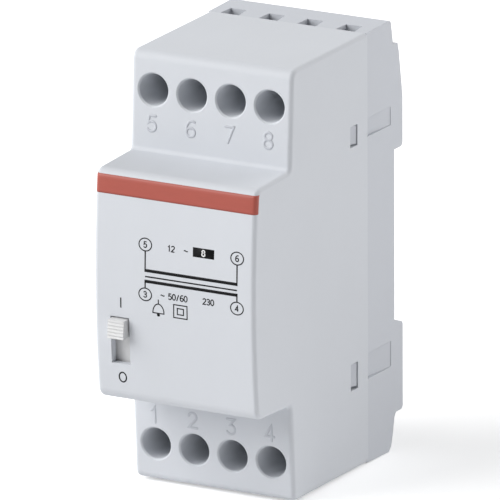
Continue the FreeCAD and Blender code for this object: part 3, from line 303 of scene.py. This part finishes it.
class Nodes:
    """The nodes of a material or of the world while they are made."""

    def __init__(self, owner, shader):
        owner.use_nodes = True
        self.tree = owner.node_tree
        self.shader = self.tree.nodes[shader]

    def node(self, kind, settings=None, sockets=None, output=0):
        """One node by its type, its settings and the values or links of its sockets."""
        made = self.tree.nodes.new(kind)
        for name, setting in (settings or {}).items():
            setattr(made, name, setting)
        for name, given in (sockets or {}).items():
            if isinstance(given, Signal):
                self.tree.links.new(given.socket, made.inputs[name])
            else:
                made.inputs[name].default_value = given
        return Signal(self, made.outputs[output])

    def blend(self, share, first, second):
        """A colour between two others."""
        ends = [given if isinstance(given, Signal) else (*given, 1) for given in (first, second)]
        return self.node("ShaderNodeMix", {"data_type": "RGBA"},
                         {0: share, 6: ends[0], 7: ends[1]}, output=2)

    def drifted(self, share, colour, drift):
        """The colour, darker by a drift where the share is 0 and lighter where it is 1."""
        return self.blend(share, shade(colour, 1 - drift), shade(colour, 1 + drift))

    def feed(self, socket, signal):
        """Links a signal to the shader."""
        self.tree.links.new(signal.socket, self.shader.inputs[socket])

    def seen(self):
        """1 on rays that end in the picture, also by gloss or glass, and 0 on those that light."""
        camera, glossy, clear = (self.node("ShaderNodeLightPath", output=f"Is {name} Ray")
                                 for name in ("Camera", "Glossy", "Transmission"))
        return camera | glossy | clear


class Finish(Nodes):
    """A procedural material while it is made."""

    def __init__(self, name, constants=None):
        self.material = bpy.data.materials.new(name)
        super().__init__(self.material, "Principled BSDF")
        for socket, constant in (constants or {}).items():
            self.shader.inputs[socket].default_value = constant

    def place(self):
        """The point on the piece, in metres of its own frame."""
        return self.node("ShaderNodeTexCoord", output="Object")

    def axis(self, name):
        """One coordinate of the point, in metres."""
        return self.node("ShaderNodeSeparateXYZ", sockets={0: self.place()}, output=name)

    def stretched(self, scale):
        """The point with its axes scaled by three factors."""
        return self.node("ShaderNodeVectorMath", {"operation": "MULTIPLY"},
                         {0: self.place(), 1: scale})

    def stripes(self, axis, pitch, sway=None):
        """Waves from 0 to 1 along an axis of the piece, at a pitch in metres."""
        along = self.axis(axis)
        if sway is not None:
            along = along + sway
        return (along * (2 * math.pi / pitch)).wave()

    def noise(self, size, detail=2.0, roughness=0.55, place=None):
        """Noise from 0 to 1 with blotches of about this size in metres."""
        return self.node("ShaderNodeTexNoise", sockets={
            "Vector": place or self.place(), "Scale": 1 / size, "Detail": detail,
            "Roughness": roughness})

    def bump(self, height, distance, edge=0.0):
        """Relief on the surface, over edges that are rounded by a radius."""
        sockets = {"Height": height, "Distance": distance}
        if edge:
            sockets["Normal"] = self.node("ShaderNodeBevel", {"samples": 6}, {"Radius": edge})
        self.feed("Normal", self.node("ShaderNodeBump", sockets=sockets))


def shade(colour, factor):
    """The colour, lighter or darker by a factor."""
    return tuple(min(1.0, level * factor) for level in colour)


def moulded(name, colour, look, drift=0.035, gloss=None):
    """Moulded plastic: a spark-eroded skin with slow drifts of tone and faint flow marks."""
    gloss = look.gloss if gloss is None else gloss
    finish = Finish(name, {"IOR": 1.46, "Specular IOR Level": 0.35})
    pits = finish.noise(look.grain, detail=3.0)
    cloud = finish.noise(22 * MM)
    flow = finish.noise(9 * MM, place=finish.stretched((1.0, 0.35, 0.12)))
    dust = finish.noise(1.4 * MM, detail=4.0, roughness=0.7)
    tone = cloud.swing(0.7) + flow.swing(0.5) + dust.swing(0.25) + 0.5
    finish.feed("Base Color", finish.drifted(tone, colour, drift))
    finish.feed("Roughness", gloss + pits.swing(0.16) + cloud.swing(0.08))
    finish.bump(pits, look.relief, edge=look.edge)
    return finish.material


def plated(name, colour, look, brushed=(1.0, 1.0, 1.0), face=None):
    """Plated or bare metal with tool marks, dull patches and painted shade in a recess behind its
    face.
    """
    finish = Finish(name, {"Metallic": 1.0})
    marks = finish.noise(0.12 * MM, detail=3.0, place=finish.stretched(brushed))
    patch = finish.noise(1.8 * MM, detail=3.0)
    worn, recess_shade = shade(colour, 0.72), shade(colour, 0.08)
    tone = finish.blend(patch * 0.5, colour, worn)
    # Painted shade: the colour goes nearly black from the head's face to the recess's depth behind
    # it.
    if face is not None:
        deep = finish.node("ShaderNodeMapRange", sockets={
            "Value": finish.axis("Y"), "From Min": face, "From Max": face + look.recess})
        tone = finish.blend(deep, tone, recess_shade)
    finish.feed("Base Color", tone)
    finish.feed("Roughness", look.roughness + marks.swing(0.22) + patch.swing(0.2))
    finish.bump(marks, distance=0.004 * MM)
    return finish.material


def printed(name, colour, streak=0.06, shine=0.5):
    """Pad-printed ink: an even film with soft streaks."""
    finish = Finish(name, {"Roughness": 0.45, "Specular IOR Level": shine})
    streaks = finish.noise(3.2 * MM, place=finish.stretched((1.0, 1.0, 2.4)))
    speckle = finish.noise(0.12 * MM)
    tone = streaks.swing(0.9) + speckle.swing(0.3) + 0.5
    finish.feed("Base Color", finish.drifted(tone, colour, streak))
    finish.bump(speckle, distance=0.002 * MM)
    return finish.material


def laminated(name, colour):
    """Varnished edges of stamped sheets, stacked across X."""
    finish = Finish(name, {"Metallic": 0.85})
    sheets = finish.stripes("X", pitch=0.5 * MM) ** 0.35
    blotch = finish.noise(2.5 * MM, detail=4.0)
    scale = finish.noise(0.3 * MM, detail=3.0)
    seam = shade(colour, 0.45)
    finish.feed("Base Color", finish.blend(sheets * (0.45 + blotch * 0.55), seam, colour))
    finish.feed("Roughness", 0.38 + blotch * 0.3 + scale.swing(0.1))
    finish.bump(sheets + scale * 0.3, distance=0.03 * MM)
    return finish.material


def wound(name, colour, wire):
    """Enamelled wire in tight turns along Y, with painted shade in the grooves between turns."""
    finish = Finish(name, {"Metallic": 0.7, "Coat Weight": 0.6, "Coat Roughness": 0.15})
    sway = finish.noise(4 * MM, detail=1.0) * (0.6 * wire)
    turns = finish.stripes("Y", pitch=wire, sway=sway)
    stain = finish.noise(2 * MM, detail=3.0)
    groove_shade = shade(colour, 0.28)
    # Painted shade darkens the grooves between the turns; the stains add random darker patches.
    finish.feed("Base Color", finish.blend((1 - turns) * 0.7 + stain * 0.3, colour, groove_shade))
    finish.feed("Roughness", 0.3 + stain * 0.2)
    finish.bump(turns, distance=0.3 * wire)
    return finish.material


def wrapped(name, colour):
    """Glossy polyester tape with the wire's turns pressing through."""
    finish = Finish(name, {"Coat Weight": 0.5, "Coat Roughness": 0.12})
    ridges = finish.stripes("Y", pitch=0.4 * MM)
    lap = finish.noise(5 * MM, place=finish.stretched((0.3, 1.0, 0.3)))
    crease = finish.noise(1.1 * MM, detail=3.0)
    lapped = shade(colour, 0.7)
    finish.feed("Base Color", finish.blend(lap * 0.6 + crease * 0.3, colour, lapped))
    finish.feed("Roughness", 0.28 + crease * 0.2)
    finish.bump(ridges * 0.3 + crease, distance=0.05 * MM)
    return finish.material


def sleeved(name, colour):
    """Soft insulating sleeve with faint drawing lines."""
    finish = Finish(name)
    haze = finish.noise(2.2 * MM, detail=3.0)
    skin = finish.noise(0.25 * MM)
    rubbed, fresh = shade(colour, 0.86), shade(colour, 1.08)
    finish.feed("Base Color", finish.blend(haze, rubbed, fresh))
    finish.feed("Roughness", 0.42 + skin.swing(0.2))
    finish.bump(skin, distance=0.01 * MM)
    return finish.material


def dress(material, *starts):
    """Gives a finish to every node whose name starts with one of these."""
    found = [node for name, node in frame["nodes"].items() if name.startswith(starts)]
    if not found:
        raise RuntimeError(f"no node starts with {starts}")
    for node in found:
        node.data.materials.clear()
        node.data.materials.append(material)


# Meshes

RAY_LEAD = 10 * MM          # the rays that find the cover's front start this far before it
SUNK = 0.03 * MM            # prints and moulded strokes reach this deep into the cover
LONGEST_RUN = 0.5 * MM      # a stroke has points at least this close, to follow the cover
MEETING = 1e-9              # a stroke whose ends are this close is closed
MITRE_LIMIT = 0.5           # a turn widens a stroke by one over this at most
END_TURNS = (30, 60, 85)    # steps round a rounded end, in degrees
# Cross-sections of a stroke, in shares of half its width and of its height. A negative height
# stands for the foot that is sunk into the cover.
FLAT = [(-1, -1), (-1, 1), (1, 1), (1, -1)]
ROUND = [(-1, -1), (-1, 0.05), (-0.8, 0.55), (-0.4, 0.9), (0, 1), (0.4, 0.9), (0.8, 0.55),
         (1, 0.05), (1, -1)]


def add_piece(name, vertices, faces, material, body, slot):
    """A smooth mesh piece that moves with a body."""
    mesh = bpy.data.meshes.new(name)
    mesh.from_pydata(vertices, [], faces)
    mesh.validate()
    mesh.materials.append(material)
    mesh.shade_smooth()
    piece = bpy.data.objects.new(name, mesh)
    bpy.context.scene.collection.objects.link(piece)
    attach(piece, body)
    return piece


def surface_finder(node):
    """A function that gives the depth of the node's front face at a place across and up."""
    mesh = frame["nodes"][node].data
    tree = BVHTree.FromPolygons([v.co for v in mesh.vertices],
                                [p.vertices for p in mesh.polygons])
    start = CAD_BOX[0][1] - RAY_LEAD

    def depth_at(across, up):
        hit = tree.ray_cast(Vector((across, start, up)), Vector((0, 1, 0)))[0]
        if hit is None:
            raise RuntimeError(f"nothing of {node} lies behind {across:.4f}, {up:.4f}")
        return hit.y
    return depth_at


def arc(across, up, half_width, half_height, start, end, steps=14):
    """Points along part of an ellipse, by angles in degrees."""
    turns = [math.radians(start + (end - start) * i / steps) for i in range(steps + 1)]
    return [(across + half_width * math.cos(t), up + half_height * math.sin(t)) for t in turns]


def ring(across, up, half_width, half_height, steps):
    """Points round a whole ellipse, the last on the first."""
    return arc(across, up, half_width, half_height, 0, 360, steps)


# Strokes of the moulded numbers, in a cell that is 1 high and 0.6 wide
CELL_MIDDLE, CELL_STEP = (0.3, 0.5), 0.62
MOULDED = {
    "0": [arc(0.3, 0.5, 0.24, 0.46, 90, 450, 28)],
    "1": [[(0.14, 0.74), (0.24, 0.82), (0.34, 0.96), (0.34, 0.03)]],
    "2": [arc(0.29, 0.7, 0.22, 0.26, 165, -25) + [(0.06, 0.05), (0.54, 0.05)]],
    "3": [[(0.08, 0.95), (0.5, 0.95), (0.25, 0.6)] + arc(0.27, 0.32, 0.24, 0.28, 80, -150)],
    "4": [[(0.4, 0.03), (0.4, 0.96), (0.06, 0.28), (0.54, 0.28)]],
    "5": [[(0.5, 0.95), (0.14, 0.95), (0.1, 0.53)] + arc(0.27, 0.33, 0.25, 0.29, 110, -150)],
    "6": [arc(0.38, 0.5, 0.31, 0.46, 65, 180, 12) + [(0.07, 0.3)],
          ring(0.3, 0.3, 0.23, 0.26, 28)],
    "7": [[(0.05, 0.95), (0.53, 0.95), (0.22, 0.03)]],
    "8": [ring(0.3, 0.74, 0.205, 0.21, 24), ring(0.3, 0.28, 0.235, 0.25, 28)],
}
# The printed ones differ in their 3, and have a stroke and a tilde
PRINTED = MOULDED | {
    "3": [arc(0.28, 0.73, 0.21, 0.22, 160, -90, 14) + arc(0.28, 0.28, 0.23, 0.25, 90, -160, 16)],
    "/": [[(0.44, 0.98), (0.12, -0.02)]],
    "~": [arc(0.13, 0.38, 0.14, 0.13, 165, 40, 6) + arc(0.42, 0.52, 0.16, 0.14, 220, 340, 6)],
}


def written(strokes, text, across, up, height, wide):
    """Strokes of a text, centred on a place and widened by a factor."""
    middle_u, middle_v = CELL_MIDDLE
    left = -(len(text) - 1) * CELL_STEP / 2
    return [[(across + (u - middle_u + left + index * CELL_STEP) * height * wide,
              up + (v - middle_v) * height) for u, v in stroke]
            for index, sign in enumerate(text) for stroke in strokes[sign]]


def split(points, longest):
    """The points with more between them, so that no run is longer than this."""
    out = [points[0]]
    for (u0, v0), (u1, v1) in zip(points, points[1:]):
        count = max(1, math.ceil(math.hypot(u1 - u0, v1 - v0) / longest))
        out += [(u0 + (u1 - u0) * i / count, v0 + (v1 - v0) * i / count)
                for i in range(1, count + 1)]
    return out


def heading(first, second):
    """The direction from one point to another."""
    return (Vector(second) - Vector(first)).normalized()


def stroke_sections(points, half_width, rise, rounded):
    """Each cross-section's middle, side, half width and height, and if the stroke is closed."""
    closed = math.dist(points[0], points[-1]) < MEETING
    if closed:
        points = points[:-1]
    count = len(points)
    sections = []
    for index, point in enumerate(points):
        before = after = None
        if index > 0 or closed:
            before = heading(points[index - 1], point)
        if index < count - 1 or closed:
            after = heading(point, points[(index + 1) % count])
        first, second = before or after, after or before
        along = (first + second).normalized()
        side = Vector((-along.y, along.x)) / max(MITRE_LIMIT, along.dot(first))
        sections.append((Vector(point), side, half_width, rise))
    if rounded and not closed:
        caps = []
        for end, along in ((0, heading(points[1], points[0])),
                           (-1, heading(points[-2], points[-1]))):
            middle, side = sections[end][:2]
            caps.append([(middle + along * half_width * math.sin(math.radians(turn)), side,
                          half_width * math.cos(math.radians(turn)),
                          rise * math.cos(math.radians(turn))) for turn in END_TURNS])
        sections = caps[0][::-1] + sections + caps[1]
    return sections, closed


def tube_faces(first, count, size, closed):
    """Faces along cross-sections of equal size, and over both ends if they don't meet."""
    faces = []
    for section in range(count if closed else count - 1):
        here, there = first + section * size, first + (section + 1) % count * size
        for k in range(size):
            after = (k + 1) % size
            faces.append((here + k, here + after, there + after, there + k))
    if not closed:
        last = first + (count - 1) * size
        faces.append(tuple(first + k for k in reversed(range(size))))
        faces.append(tuple(last + k for k in range(size)))
    return faces


def raise_strokes(strokes, width, rise, depth_at, rounded=False):
    """Vertices and faces of strokes that stand proud of a surface, flat or rounded."""
    profile = ROUND if rounded else FLAT
    vertices, faces = [], []
    for stroke in strokes:
        sections, closed = stroke_sections(split(stroke, LONGEST_RUN), width / 2, rise, rounded)
        faces += tube_faces(len(vertices), len(sections), len(profile), closed)
        for middle, side, half_width, height in sections:
            for share, lift in profile:
                place = middle + side * half_width * share
                out = height * lift if lift >= 0 else -SUNK
                vertices.append((place.x, depth_at(place.x, place.y) - out, place.y))
    return vertices, faces


def fill_shape(outline, rise, depth_at):
    """Vertices and faces of a flat field inside an outline, proud of a surface."""
    count = len(outline)
    vertices = [(u, depth_at(u, v) - rise, v) for u, v in outline]
    vertices += [(u, depth_at(u, v) + SUNK, v) for u, v in outline]
    faces = [tuple(range(count)), tuple(range(2 * count - 1, count - 1, -1))]
    faces += [(k, (k + 1) % count, count + (k + 1) % count, count + k)[::-1]
              for k in range(count)]
    return vertices, faces


def join_meshes(*meshes):
    """Several lists of vertices and faces as one."""
    vertices, faces = [], []
    for more_vertices, more_faces in meshes:
        base = len(vertices)
        vertices += more_vertices
        faces += [tuple(base + k for k in face) for face in more_faces]
    return vertices, faces


def box_outline(left, low, right, high):
    """A closed rectangular path."""
    return [(left, low), (right, low), (right, high), (left, high), (left, low)]


def in_metres(strokes):
    """Strokes given in millimetres, in metres."""
    return [[(u * MM, v * MM) for u, v in stroke] for stroke in strokes]


# Operators

class TRANSFORMER_OT_finish_plastics(bpy.types.Operator):
    """Finish the housing, the knob, the latch, the switch block and the former"""
    bl_idname = "transformer.finish_plastics"
    bl_label = "Moulded pieces"

    def execute(self, context):
        look = context.scene.plastic_look
        dress(moulded("cover_plastic", look.cover, look), "front_cover")
        dress(moulded("base_plastic", look.base, look), "rear_base")
        dress(moulded("knob_plastic", look.knob, look, drift=0.02, gloss=look.knob_gloss),
              "switch_knob")
        dress(moulded("latch_plastic", look.latch, look, drift=0.05), "rail_latch")
        dress(moulded("block_plastic", look.block, look, drift=0.12, gloss=look.block_gloss),
              "switch_block")
        dress(moulded("former_plastic", look.former, look, drift=0.06), "bobbin")
        return {"FINISHED"}


class TRANSFORMER_OT_finish_metals(bpy.types.Operator):
    """Finish the terminals, the switch contacts and the core"""
    bl_idname = "transformer.finish_metals"
    bl_label = "Metal pieces"

    def execute(self, context):
        look = context.scene.metal_look
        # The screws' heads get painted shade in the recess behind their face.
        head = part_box("terminal_screw_1")[0].y
        dress(plated("screw_zinc", look.zinc, look, face=head), "terminal_screw")
        dress(plated("clamp_zinc", look.zinc, look, brushed=(1.0, 0.1, 1.0)), "terminal_clamp")
        dress(plated("bar_brass", look.brass, look, brushed=(1.0, 1.0, 0.1)), "terminal_bar")
        dress(plated("contact_silver", look.silver, look), "switch_bridge", "switch_contact")
        dress(laminated("core_sheets", look.iron), "core_")
        dress(wound("fine_wire", look.copper, wire=0.14 * MM), "primary_winding")
        dress(wound("thick_wire", look.copper, wire=0.6 * MM), "secondary_winding")
        return {"FINISHED"}


class TRANSFORMER_OT_finish_insulation(bpy.types.Operator):
    """Finish the tape, the fuse and the leads"""
    bl_idname = "transformer.finish_insulation"
    bl_label = "Tape, fuse and leads"

    def execute(self, context):
        look = context.scene.insulation_look
        dress(wrapped("winding_tape", look.tape), "winding_wrap")
        dress(sleeved("fuse_case", look.fuse), "thermal_fuse")
        for start, tone in (("primary", look.primary), ("supply", look.supply),
                            ("switch", look.supply), ("fuse", look.primary),
                            ("secondary", look.secondary)):
            dress(sleeved(f"{start}_sleeve", tone), f"{start}_lead")
        return {"FINISHED"}


class TRANSFORMER_OT_add_band(bpy.types.Operator):
    """Lay the coloured band round the top of the nose"""
    bl_idname = "transformer.add_band"
    bl_label = "Band"

    rows = 8                              # rows up the band
    front_steps = 10                      # steps from the middle of the front to its edge
    corner_turns = range(180, 89, -10)    # steps round the corner, in degrees

    def execute(self, context):
        band = context.scene.band_sizes
        depth_at = surface_finder("front_cover")
        vertices = []
        for row in range(self.rows + 1):
            up = band.foot + (band.top - band.foot) * row / self.rows
            section = self.section(band, depth_at(0, up))
            for film in (band.film, -band.film):
                vertices += [(across + out * film, back + depth * film, up)
                             for across, back, out, depth in section]
        add_piece("front_band", vertices, self.faces(len(section)),
                  printed("band_ink", band.colour), "housing", "housing_grey")
        return {"FINISHED"}

    def section(self, band, front):
        """Points round the nose from left to right, each with the direction out of its skin."""
        half = CAD_BOX[1][0]
        inner, centre = half - band.corner, front + band.corner
        left = [(-half, centre + band.wrap, -1, 0)]
        for turn in self.corner_turns:
            out, depth = math.cos(math.radians(turn)), math.sin(math.radians(turn))
            left.append((-inner + band.corner * out, centre - band.corner * depth, out, -depth))
        middle = [(inner * step / self.front_steps, front, 0, -1)
                  for step in range(1 - self.front_steps, self.front_steps)]
        right = [(-across, back, -out, depth) for across, back, out, depth in reversed(left)]
        return left + middle + right

    def faces(self, width):
        """Faces over the film's outer layer, its inner layer and its rim."""
        faces = []

        def at(row, layer, column):
            return (2 * row + layer) * width + column

        for row in range(self.rows):
            for column in range(width - 1):
                faces.append((at(row, 0, column), at(row, 0, column + 1),
                              at(row + 1, 0, column + 1), at(row + 1, 0, column)))
                faces.append((at(row, 1, column + 1), at(row, 1, column),
                              at(row + 1, 1, column), at(row + 1, 1, column + 1)))
            for column, turned in ((0, False), (width - 1, True)):
                rim = (at(row, 0, column), at(row + 1, 0, column),
                       at(row + 1, 1, column), at(row, 1, column))
                faces.append(rim[::-1] if turned else rim)
        for row, turned in ((0, False), (self.rows, True)):
            for column in range(width - 1):
                rim = (at(row, 0, column), at(row, 1, column),
                       at(row, 1, column + 1), at(row, 0, column + 1))
                faces.append(rim[::-1] if turned else rim)
        return faces


class TRANSFORMER_OT_add_signs(bpy.types.Operator):
    """Print the transformer's sign, its numbers and the switch's signs on the nose"""
    bl_idname = "transformer.add_signs"
    bl_label = "Printed signs"

    def execute(self, context):
        sign = context.scene.sign_sizes
        depth_at = surface_finder("front_cover")
        strokes = ((self.windings(sign), sign.thick), (self.leads(sign), sign.thin),
                   (self.circles(sign), sign.fine), (self.bell(), sign.fine),
                   (self.double_square(), sign.fine), (self.numbers(sign), sign.fine),
                   (self.switch_signs(), sign.thin))
        parts = [raise_strokes(in_metres(lines), width, sign.film, depth_at)
                 for lines, width in strokes]
        clapper = ring(BELL[0], BELL_RIM - CLAPPER, CLAPPER, CLAPPER, 20)
        parts += [fill_shape(outline[:-1], sign.film, depth_at)
                  for outline in in_metres([clapper, box_outline(*FIELD)])]
        ink = printed("sign_ink", sign.ink, streak=0.12, shine=0.1)
        add_piece("printed_signs", *join_meshes(*parts), ink, "housing", "block_black")
        left, low, right, high = FIELD
        white = written(PRINTED, "8", (left + right) / 2, (low + high) / 2,
                        sign.print_height / MM, sign.print_width)
        add_piece("field_number",
                  *raise_strokes(in_metres(white), sign.thin, 2 * sign.film, depth_at),
                  printed("white_ink", sign.white), "housing", "switch_white")
        return {"FINISHED"}

    def windings(self, sign):
        """The two thick lines, which reach over the outer edges of the leads."""
        lap = sign.thin / MM / 2
        return [[(LEFT_END - lap, up), (RIGHT_END + lap, up)] for up in (UPPER_LINE, LOWER_LINE)]

    def leads(self, sign):
        """Thin lines from the windings to the circles, and the core's line."""
        half_ring = sign.ring_height / MM / 2
        lines = [[(LEFT_END, CORE_LINE), (RIGHT_END, CORE_LINE)]]
        for across in (LEFT_END, RIGHT_END):
            lines.append([(across, UPPER_LINE), (across, UPPER_CIRCLES - half_ring)])
            lines.append([(across, LOWER_LINE), (across, LOWER_CIRCLES + half_ring)])
        return lines

    def circles(self, sign):
        """Rings round the terminals' numbers."""
        half_width, half_height = sign.ring_width / MM / 2, sign.ring_height / MM / 2
        return [ring(across, up, half_width, half_height, 40)
                for across, up in CIRCLES.values()]

    def bell(self):
        """The bell's stem, dome and rim."""
        across, stem = BELL
        return [[(across, stem), (across, BELL_RIM + BELL_DOME)],
                arc(across, BELL_RIM, BELL_HALF, BELL_DOME, 180, 0, 24),
                [(across - BELL_HALF - BELL_LAP, BELL_RIM),
                 (across + BELL_HALF + BELL_LAP, BELL_RIM)]]

    def double_square(self):
        """The sign of double insulation."""
        return [box_outline(*OUTER_SQUARE), box_outline(*INNER_SQUARE)]

    def numbers(self, sign):
        """Numbers in the circles and in the rows above and below the windings."""
        height, wide = sign.print_height / MM, sign.print_width
        lines = []
        for text, (across, up) in (CIRCLES | ROWS).items():
            lines += written(PRINTED, text, across, up, height, wide)
        for across, up in TILDES:
            lines += written(PRINTED, "~", across, up, height, wide)
        return lines

    def switch_signs(self):
        """The stroke above the switch's slot and the ring below it."""
        return [SWITCH_STROKE, ring(*SWITCH_RING, 32)]


class TRANSFORMER_OT_add_numbers(bpy.types.Operator):
    """Raise the terminal numbers on the shoulders"""
    bl_idname = "transformer.add_numbers"
    bl_label = "Moulded numbers"

    def execute(self, context):
        sign = context.scene.sign_sizes
        depth_at = surface_finder("front_cover")
        # The numbers' darker grey is painted shade on the raised strokes.
        skin = moulded("number_plastic", sign.relief, context.scene.plastic_look)
        for name, numbers, up in (("lower_numbers", range(1, 5), LOWER_NUMBERS),
                                  ("upper_numbers", range(5, 9), UPPER_NUMBERS)):
            strokes = []
            for number in numbers:
                low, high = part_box(f"terminal_screw_{number}")
                across = (low.x + high.x) / 2 / MM + NUMBER_SHIFT
                strokes += written(MOULDED, str(number), across, up,
                                   sign.number_height / MM, sign.number_width)
            add_piece(name, *raise_strokes(in_metres(strokes), sign.number_line,
                                           sign.number_rise, depth_at, rounded=True),
                      skin, "housing", "housing_grey")
        return {"FINISHED"}


class TRANSFORMER_OT_add_spring(bpy.types.Operator):
    """Wind the latch's spring with closed ends, in the place of its plain coil"""
    bl_idname = "transformer.add_spring"
    bl_label = "Latch spring"

    def execute(self, context):
        spring, look = context.scene.spring_sizes, context.scene.metal_look
        low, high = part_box("latch_spring")
        middle = (low + high) / 2
        points = self.path(spring, low, high)
        vertices = []
        for index, point in enumerate(points):
            along = (points[min(index + 1, len(points) - 1)] - points[max(index - 1, 0)])
            outward = Vector((point.x - middle.x, point.y - middle.y, 0)).normalized()
            across = along.normalized().cross(outward)
            for side in range(spring.sides):
                turn = 2 * math.pi * side / spring.sides
                vertices.append(point + (outward * math.cos(turn) + across * math.sin(turn))
                                * (spring.wire / 2))
        coil = add_piece("latch_spring_coil", vertices,
                         tube_faces(0, len(points), spring.sides, closed=False),
                         plated("spring_steel", look.spring, look), "housing", "spring_steel")
        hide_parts("latch_spring")
        slide = next(joint for joint in frame["joints"] if joint["name"] == "latch_slide")
        travel = max(slide["range_m"])
        length = high.z - low.z
        (length - travel) / length
        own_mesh(coil)
        return {"FINISHED"}

    def path(self, spring, low, high):
        """Points along the wire's middle, with turns that touch at both ends of the coil."""
        middle = (low + high) / 2
        radius = (high.x - low.x - spring.wire) / 2
        total = spring.turns + 2 * spring.closed
        foot, top = low.z + spring.wire / 2, high.z - spring.wire / 2
        end_rise = spring.closed * spring.wire
        points = []
        for index in range(round(total * spring.steps) + 1):
            turn = index / spring.steps
            if turn < spring.closed:
                up = foot + turn * spring.wire
            elif turn > total - spring.closed:
                up = top - (total - turn) * spring.wire
            else:
                share = (turn - spring.closed) / spring.turns
                up = foot + end_rise + (top - foot - 2 * end_rise) * share
            angle = 2 * math.pi * turn
            points.append(Vector((middle.x + radius * math.cos(angle),
                                  middle.y + radius * math.sin(angle), up)))
        return points


class TRANSFORMER_OT_set_stage(bpy.types.Operator):
    """Set the camera, the lamps, the room's light and the floor"""
    bl_idname = "transformer.set_stage"
    bl_label = "Stage"

    def execute(self, context):
        stage = context.scene.stage_sizes
        scene = context.scene
        scene.view_settings.view_transform = "Standard"
        self.set_camera(scene, stage)
        self.set_room(scene, stage)
        self.add_floor(scene, stage)
        for name, (place, width) in LAMPS.items():
            self.add_lamp(scene, name, place, width, getattr(stage, name))
        return {"FINISHED"}

    def set_camera(self, scene, stage):
        """The photograph's camera: a long lens that looks down from the right."""
        azimuth, elevation = stage.azimuth, stage.elevation
        back = Vector((math.sin(azimuth) * math.cos(elevation),
                       -math.cos(azimuth) * math.cos(elevation), math.sin(elevation)))
        turn = Euler((math.pi / 2 - elevation, 0, azimuth)).to_matrix()
        turn = turn @ Euler((0, 0, stage.roll)).to_matrix()
        right, up = turn.col[0], turn.col[1]
        camera = bpy.data.objects.new("camera", bpy.data.cameras.new("camera"))
        scene.collection.objects.link(camera)
        camera.data.lens = stage.lens
        camera.data.sensor_width = 36
        camera.data.clip_start = 0.1
        camera.location = (Vector((0, -stage.depth, 0)) + back * stage.distance
                           + right * stage.aim_right + up * stage.aim_up)
        camera.rotation_euler = turn.to_euler()
        scene.camera = camera

    def set_room(self, scene, stage):
        """Even light from all round, with plain white behind the object and in its gloss."""
        scene.world = bpy.data.worlds.new("room")
        room = Nodes(scene.world, "Background")
        room.feed("Color", room.blend(room.seen(), shade(ROOM_TINT, stage.ambient), WHITE))

    def add_floor(self, scene, stage):
        """A plain white floor that keeps the object's shadow."""
        finish = Finish("floor_paper", {"Roughness": 0.9, "Specular IOR Level": 0.1})
        fibre = finish.noise(3 * MM, detail=3.0)
        seen = finish.seen()
        paper = finish.drifted(fibre, stage.bounce, 0.02)
        finish.feed("Base Color", finish.blend(seen, paper, WHITE))
        finish.feed("Emission Color", finish.blend(seen, BLACK, WHITE))
        finish.shader.inputs["Emission Strength"].default_value = stage.lift
        up = CAD_BOX[0][2]
        mesh = bpy.data.meshes.new("floor")
        mesh.from_pydata([(across * FLOOR_HALF, along * FLOOR_HALF, up) for across, along in
                          ((-1, -1), (1, -1), (1, 1), (-1, 1))], [], [(0, 1, 2, 3)])
        mesh.materials.append(finish.material)
        floor = bpy.data.objects.new("floor", mesh)
        scene.collection.objects.link(floor)

    def add_lamp(self, scene, name, place, width, power):
        """A square softbox that faces the object."""
        lamp = bpy.data.lights.new(f"{name}_lamp", "AREA")
        lamp.size = width
        lamp.energy = power
        holder = bpy.data.objects.new(f"{name}_lamp", lamp)
        scene.collection.objects.link(holder)
        holder.location = place
        holder.rotation_euler = Vector(place).to_track_quat("Z", "Y").to_euler()


class TRANSFORMER_PT_panel(bpy.types.Panel):
    """The transformer's steps in the 3D view's sidebar"""
    bl_idname = "TRANSFORMER_PT_panel"
    bl_label = "Bell transformer"
    bl_space_type = "VIEW_3D"
    bl_region_type = "UI"
    bl_category = "Transformer"

    def draw(self, context):
        for operator in OPERATORS:
            self.layout.operator(operator.bl_idname)


GROUPS = {"plastic_look": PlasticLook, "metal_look": MetalLook,
          "insulation_look": InsulationLook, "band_sizes": BandSizes,
          "sign_sizes": SignSizes, "spring_sizes": SpringSizes, "stage_sizes": StageSizes}
OPERATORS = (TRANSFORMER_OT_set_stage, TRANSFORMER_OT_finish_plastics,
             TRANSFORMER_OT_finish_metals, TRANSFORMER_OT_finish_insulation,
             TRANSFORMER_OT_add_band, TRANSFORMER_OT_add_signs, TRANSFORMER_OT_add_numbers,
             TRANSFORMER_OT_add_spring)
CLASSES = (*GROUPS.values(), *OPERATORS, TRANSFORMER_PT_panel)


def register():
    """Makes the classes known, and gives the scene its settings."""
    for entry in CLASSES:
        bpy.utils.register_class(entry)
    for name, group in GROUPS.items():
        setattr(bpy.types.Scene, name, bpy.props.PointerProperty(type=group))


def unregister():
    """Takes the settings and the classes away again."""
    for name in GROUPS:
        delattr(bpy.types.Scene, name)
    for entry in reversed(CLASSES):
        bpy.utils.unregister_class(entry)


def main():
    """Makes every piece in order."""
    register()
    bpy.ops.transformer.set_stage()
    bpy.ops.transformer.finish_plastics()
    bpy.ops.transformer.finish_metals()
    bpy.ops.transformer.finish_insulation()
    bpy.ops.transformer.add_band()
    bpy.ops.transformer.add_signs()
    bpy.ops.transformer.add_numbers()
    bpy.ops.transformer.add_spring()


if __name__ == "__main__":
    main()
